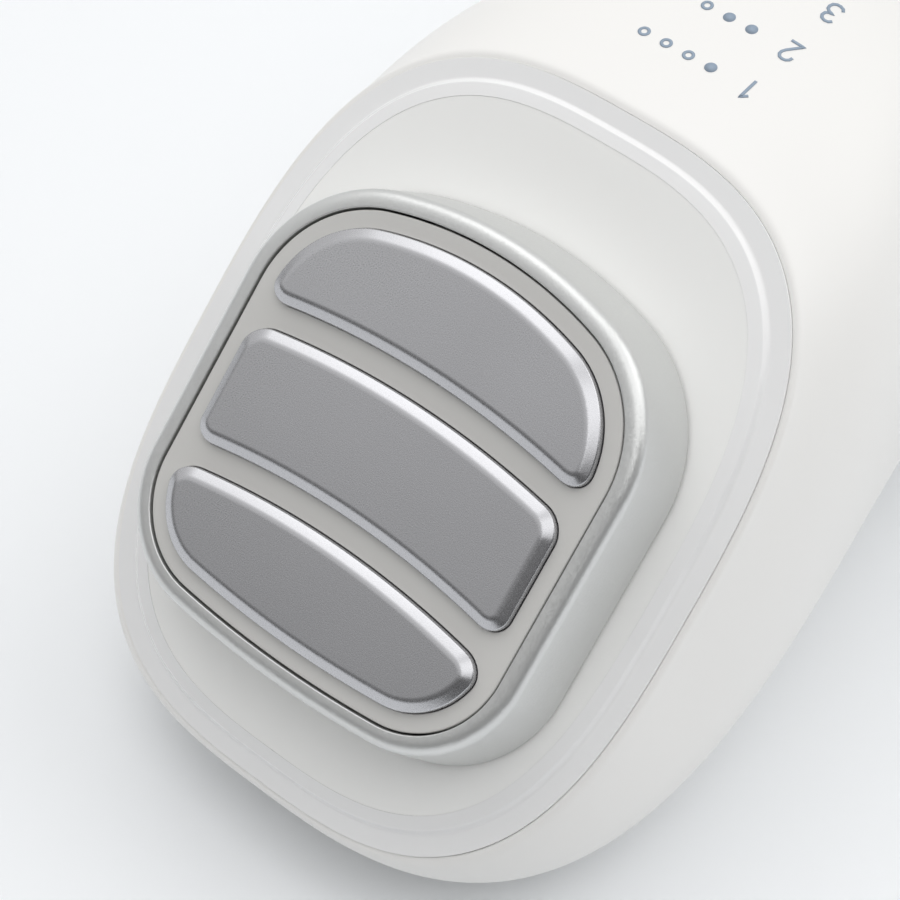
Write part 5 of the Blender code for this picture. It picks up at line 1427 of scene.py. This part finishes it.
stroke(flat["power"], placed(POWER_Y), circle((0.0, 0.0), 1.0 * MM, 40, math.radians(130.0), math.radians(280.0)))
stroke(flat["power"], placed(POWER_Y), [(0.0, 0.1 * MM), (0.0, 1.3 * MM)])
print("marks", {name: len(bm.faces) for name, bm in flat.items()})

# %% Ink on the skin
PRINT_LIFT = 0.012 * MM
FILM = 0.02 * MM

ink, tree, shader = grained("pad_printed_ink", ("#90A0B2", "#98A8BA"), 3.0 * MM, 0.08 * MM, 0.1, (0.5, 0.6))

printer = new_group("print_on_a_surface")
surface_socket = input_socket(printer, "Surface", "NodeSocketObject")
input_socket(printer, "Lift", "NodeSocketFloat", PRINT_LIFT)
given = add(printer, "NodeGroupInput").outputs
under = add(printer, "GeometryNodeObjectInfo", {"Object": given["Surface"]}).outputs["Geometry"]
drop = add(printer, "GeometryNodeRaycast", {"Target Geometry": under, "Ray Direction": (0.0, 0.0, -1.0),
                                            "Ray Length": PRINT_HEIGHT}).outputs
lift = add(printer, "ShaderNodeVectorMath", {0: drop["Hit Normal"], "Scale": given["Lift"]}, operation="SCALE")
landed = add(printer, "ShaderNodeVectorMath", {0: drop["Hit Position"], 1: lift}, operation="ADD")
laid = add(printer, "GeometryNodeSetPosition", {"Geometry": given["Geometry"], "Position": landed})
close_group(printer, laid, ink)

for name, bm in flat.items():
    marks = solid(name + "_marks", bm)
    surface = shell if name == "handle" else buttons[name]
    grow_nodes(marks, printer, {surface_socket: surface})
    film = marks.modifiers.new("film", "SOLIDIFY")
    film.thickness = FILM
    film.offset = 1.0
    settle(marks)
    dress(marks, ink, None, "housing" if name == "handle" else name + "_button")

# %% [markdown]
# ## Inside the device
# What lies under the skins keeps the frame's own solids. Each gets a finish of its own kind: rubber, nylon, green and
# white laminate, black epoxy, ferrite, foam, plated brass and so on. A finish is a pair of tones, the size of its
# drift and of its grain, how deep the grain is and how rough, with metals marked as such.

# %% Inner finishes
INNER_FINISHES = {
    "seal_rubber": ("black_silicone_rubber", ("#303032", "#38383A"), 8.0, 0.15, 0.2, (0.55, 0.68), 0.0),
    "inner_plastic": ("natural_nylon", ("#B9B7B0", "#C3C1BA"), 20.0, 0.25, 0.2, (0.45, 0.58), 0.0),
    "green_laminate": ("green_solder_mask", ("#2B6B45", "#347A50"), 2.0, 0.30, 0.3, (0.28, 0.40), 0.0),
    "white_laminate": ("white_solder_mask", ("#DEDEDA", "#E8E8E5"), 2.0, 0.30, 0.3, (0.30, 0.42), 0.0),
    "black_epoxy": ("black_moulded_epoxy", ("#242426", "#2C2C2E"), 3.0, 0.06, 0.4, (0.50, 0.62), 0.0),
    "lamp_lens": ("pale_yellow_silicone", ("#E3D585", "#EADD92"), 1.0, 0.10, 0.1, (0.20, 0.30), 0.0),
    "coil_ferrite": ("sintered_ferrite", ("#3A3B3D", "#47484A"), 1.5, 0.08, 0.5, (0.45, 0.60), 0.0),
    "battery_wrap": ("blue_shrink_film", ("#3E6C9C", "#4775A5"), 9.0, 2.50, 0.3, (0.22, 0.32), 0.0),
    "pad_foam": ("grey_foam", ("#6B6C6E", "#7D7E80"), 2.0, 0.40, 0.9, (0.80, 0.92), 0.0),
    "pin_brass": ("gold_flashed_brass", ("#C9A659", "#D2B065"), 1.5, 0.10, 0.1, (0.20, 0.28), 1.0),
    "screw_steel": None,
    "motor_steel": None,
    "weight_metal": ("sintered_tungsten", ("#7C7C80", "#88888C"), 1.5, 0.08, 0.4, (0.38, 0.48), 1.0),
    "ribbon_film": ("amber_polyimide_film", ("#A5692B", "#B27634"), 1.2, 0.50, 0.15, (0.25, 0.35), 0.0)}
finishes = {"screw_steel": zinc, "motor_steel": nickel}
for slot, recipe in INNER_FINISHES.items():
    if recipe:
        name, tones, drift, grain, bump, rough, metal = recipe
        finishes[slot], tree, shader = grained(name, tones, drift * MM, grain * MM, bump, rough)
        shader.inputs["Metallic"].default_value = metal
dressed = 0
for subpart in frame["record"]["subparts"]:
    if subpart["material_slot"] in finishes:
        for held in frame["nodes"][subpart["node"]].material_slots:
            held.material = finishes[subpart["material_slot"]]
            dressed += 1
print("inner solids dressed", dressed)
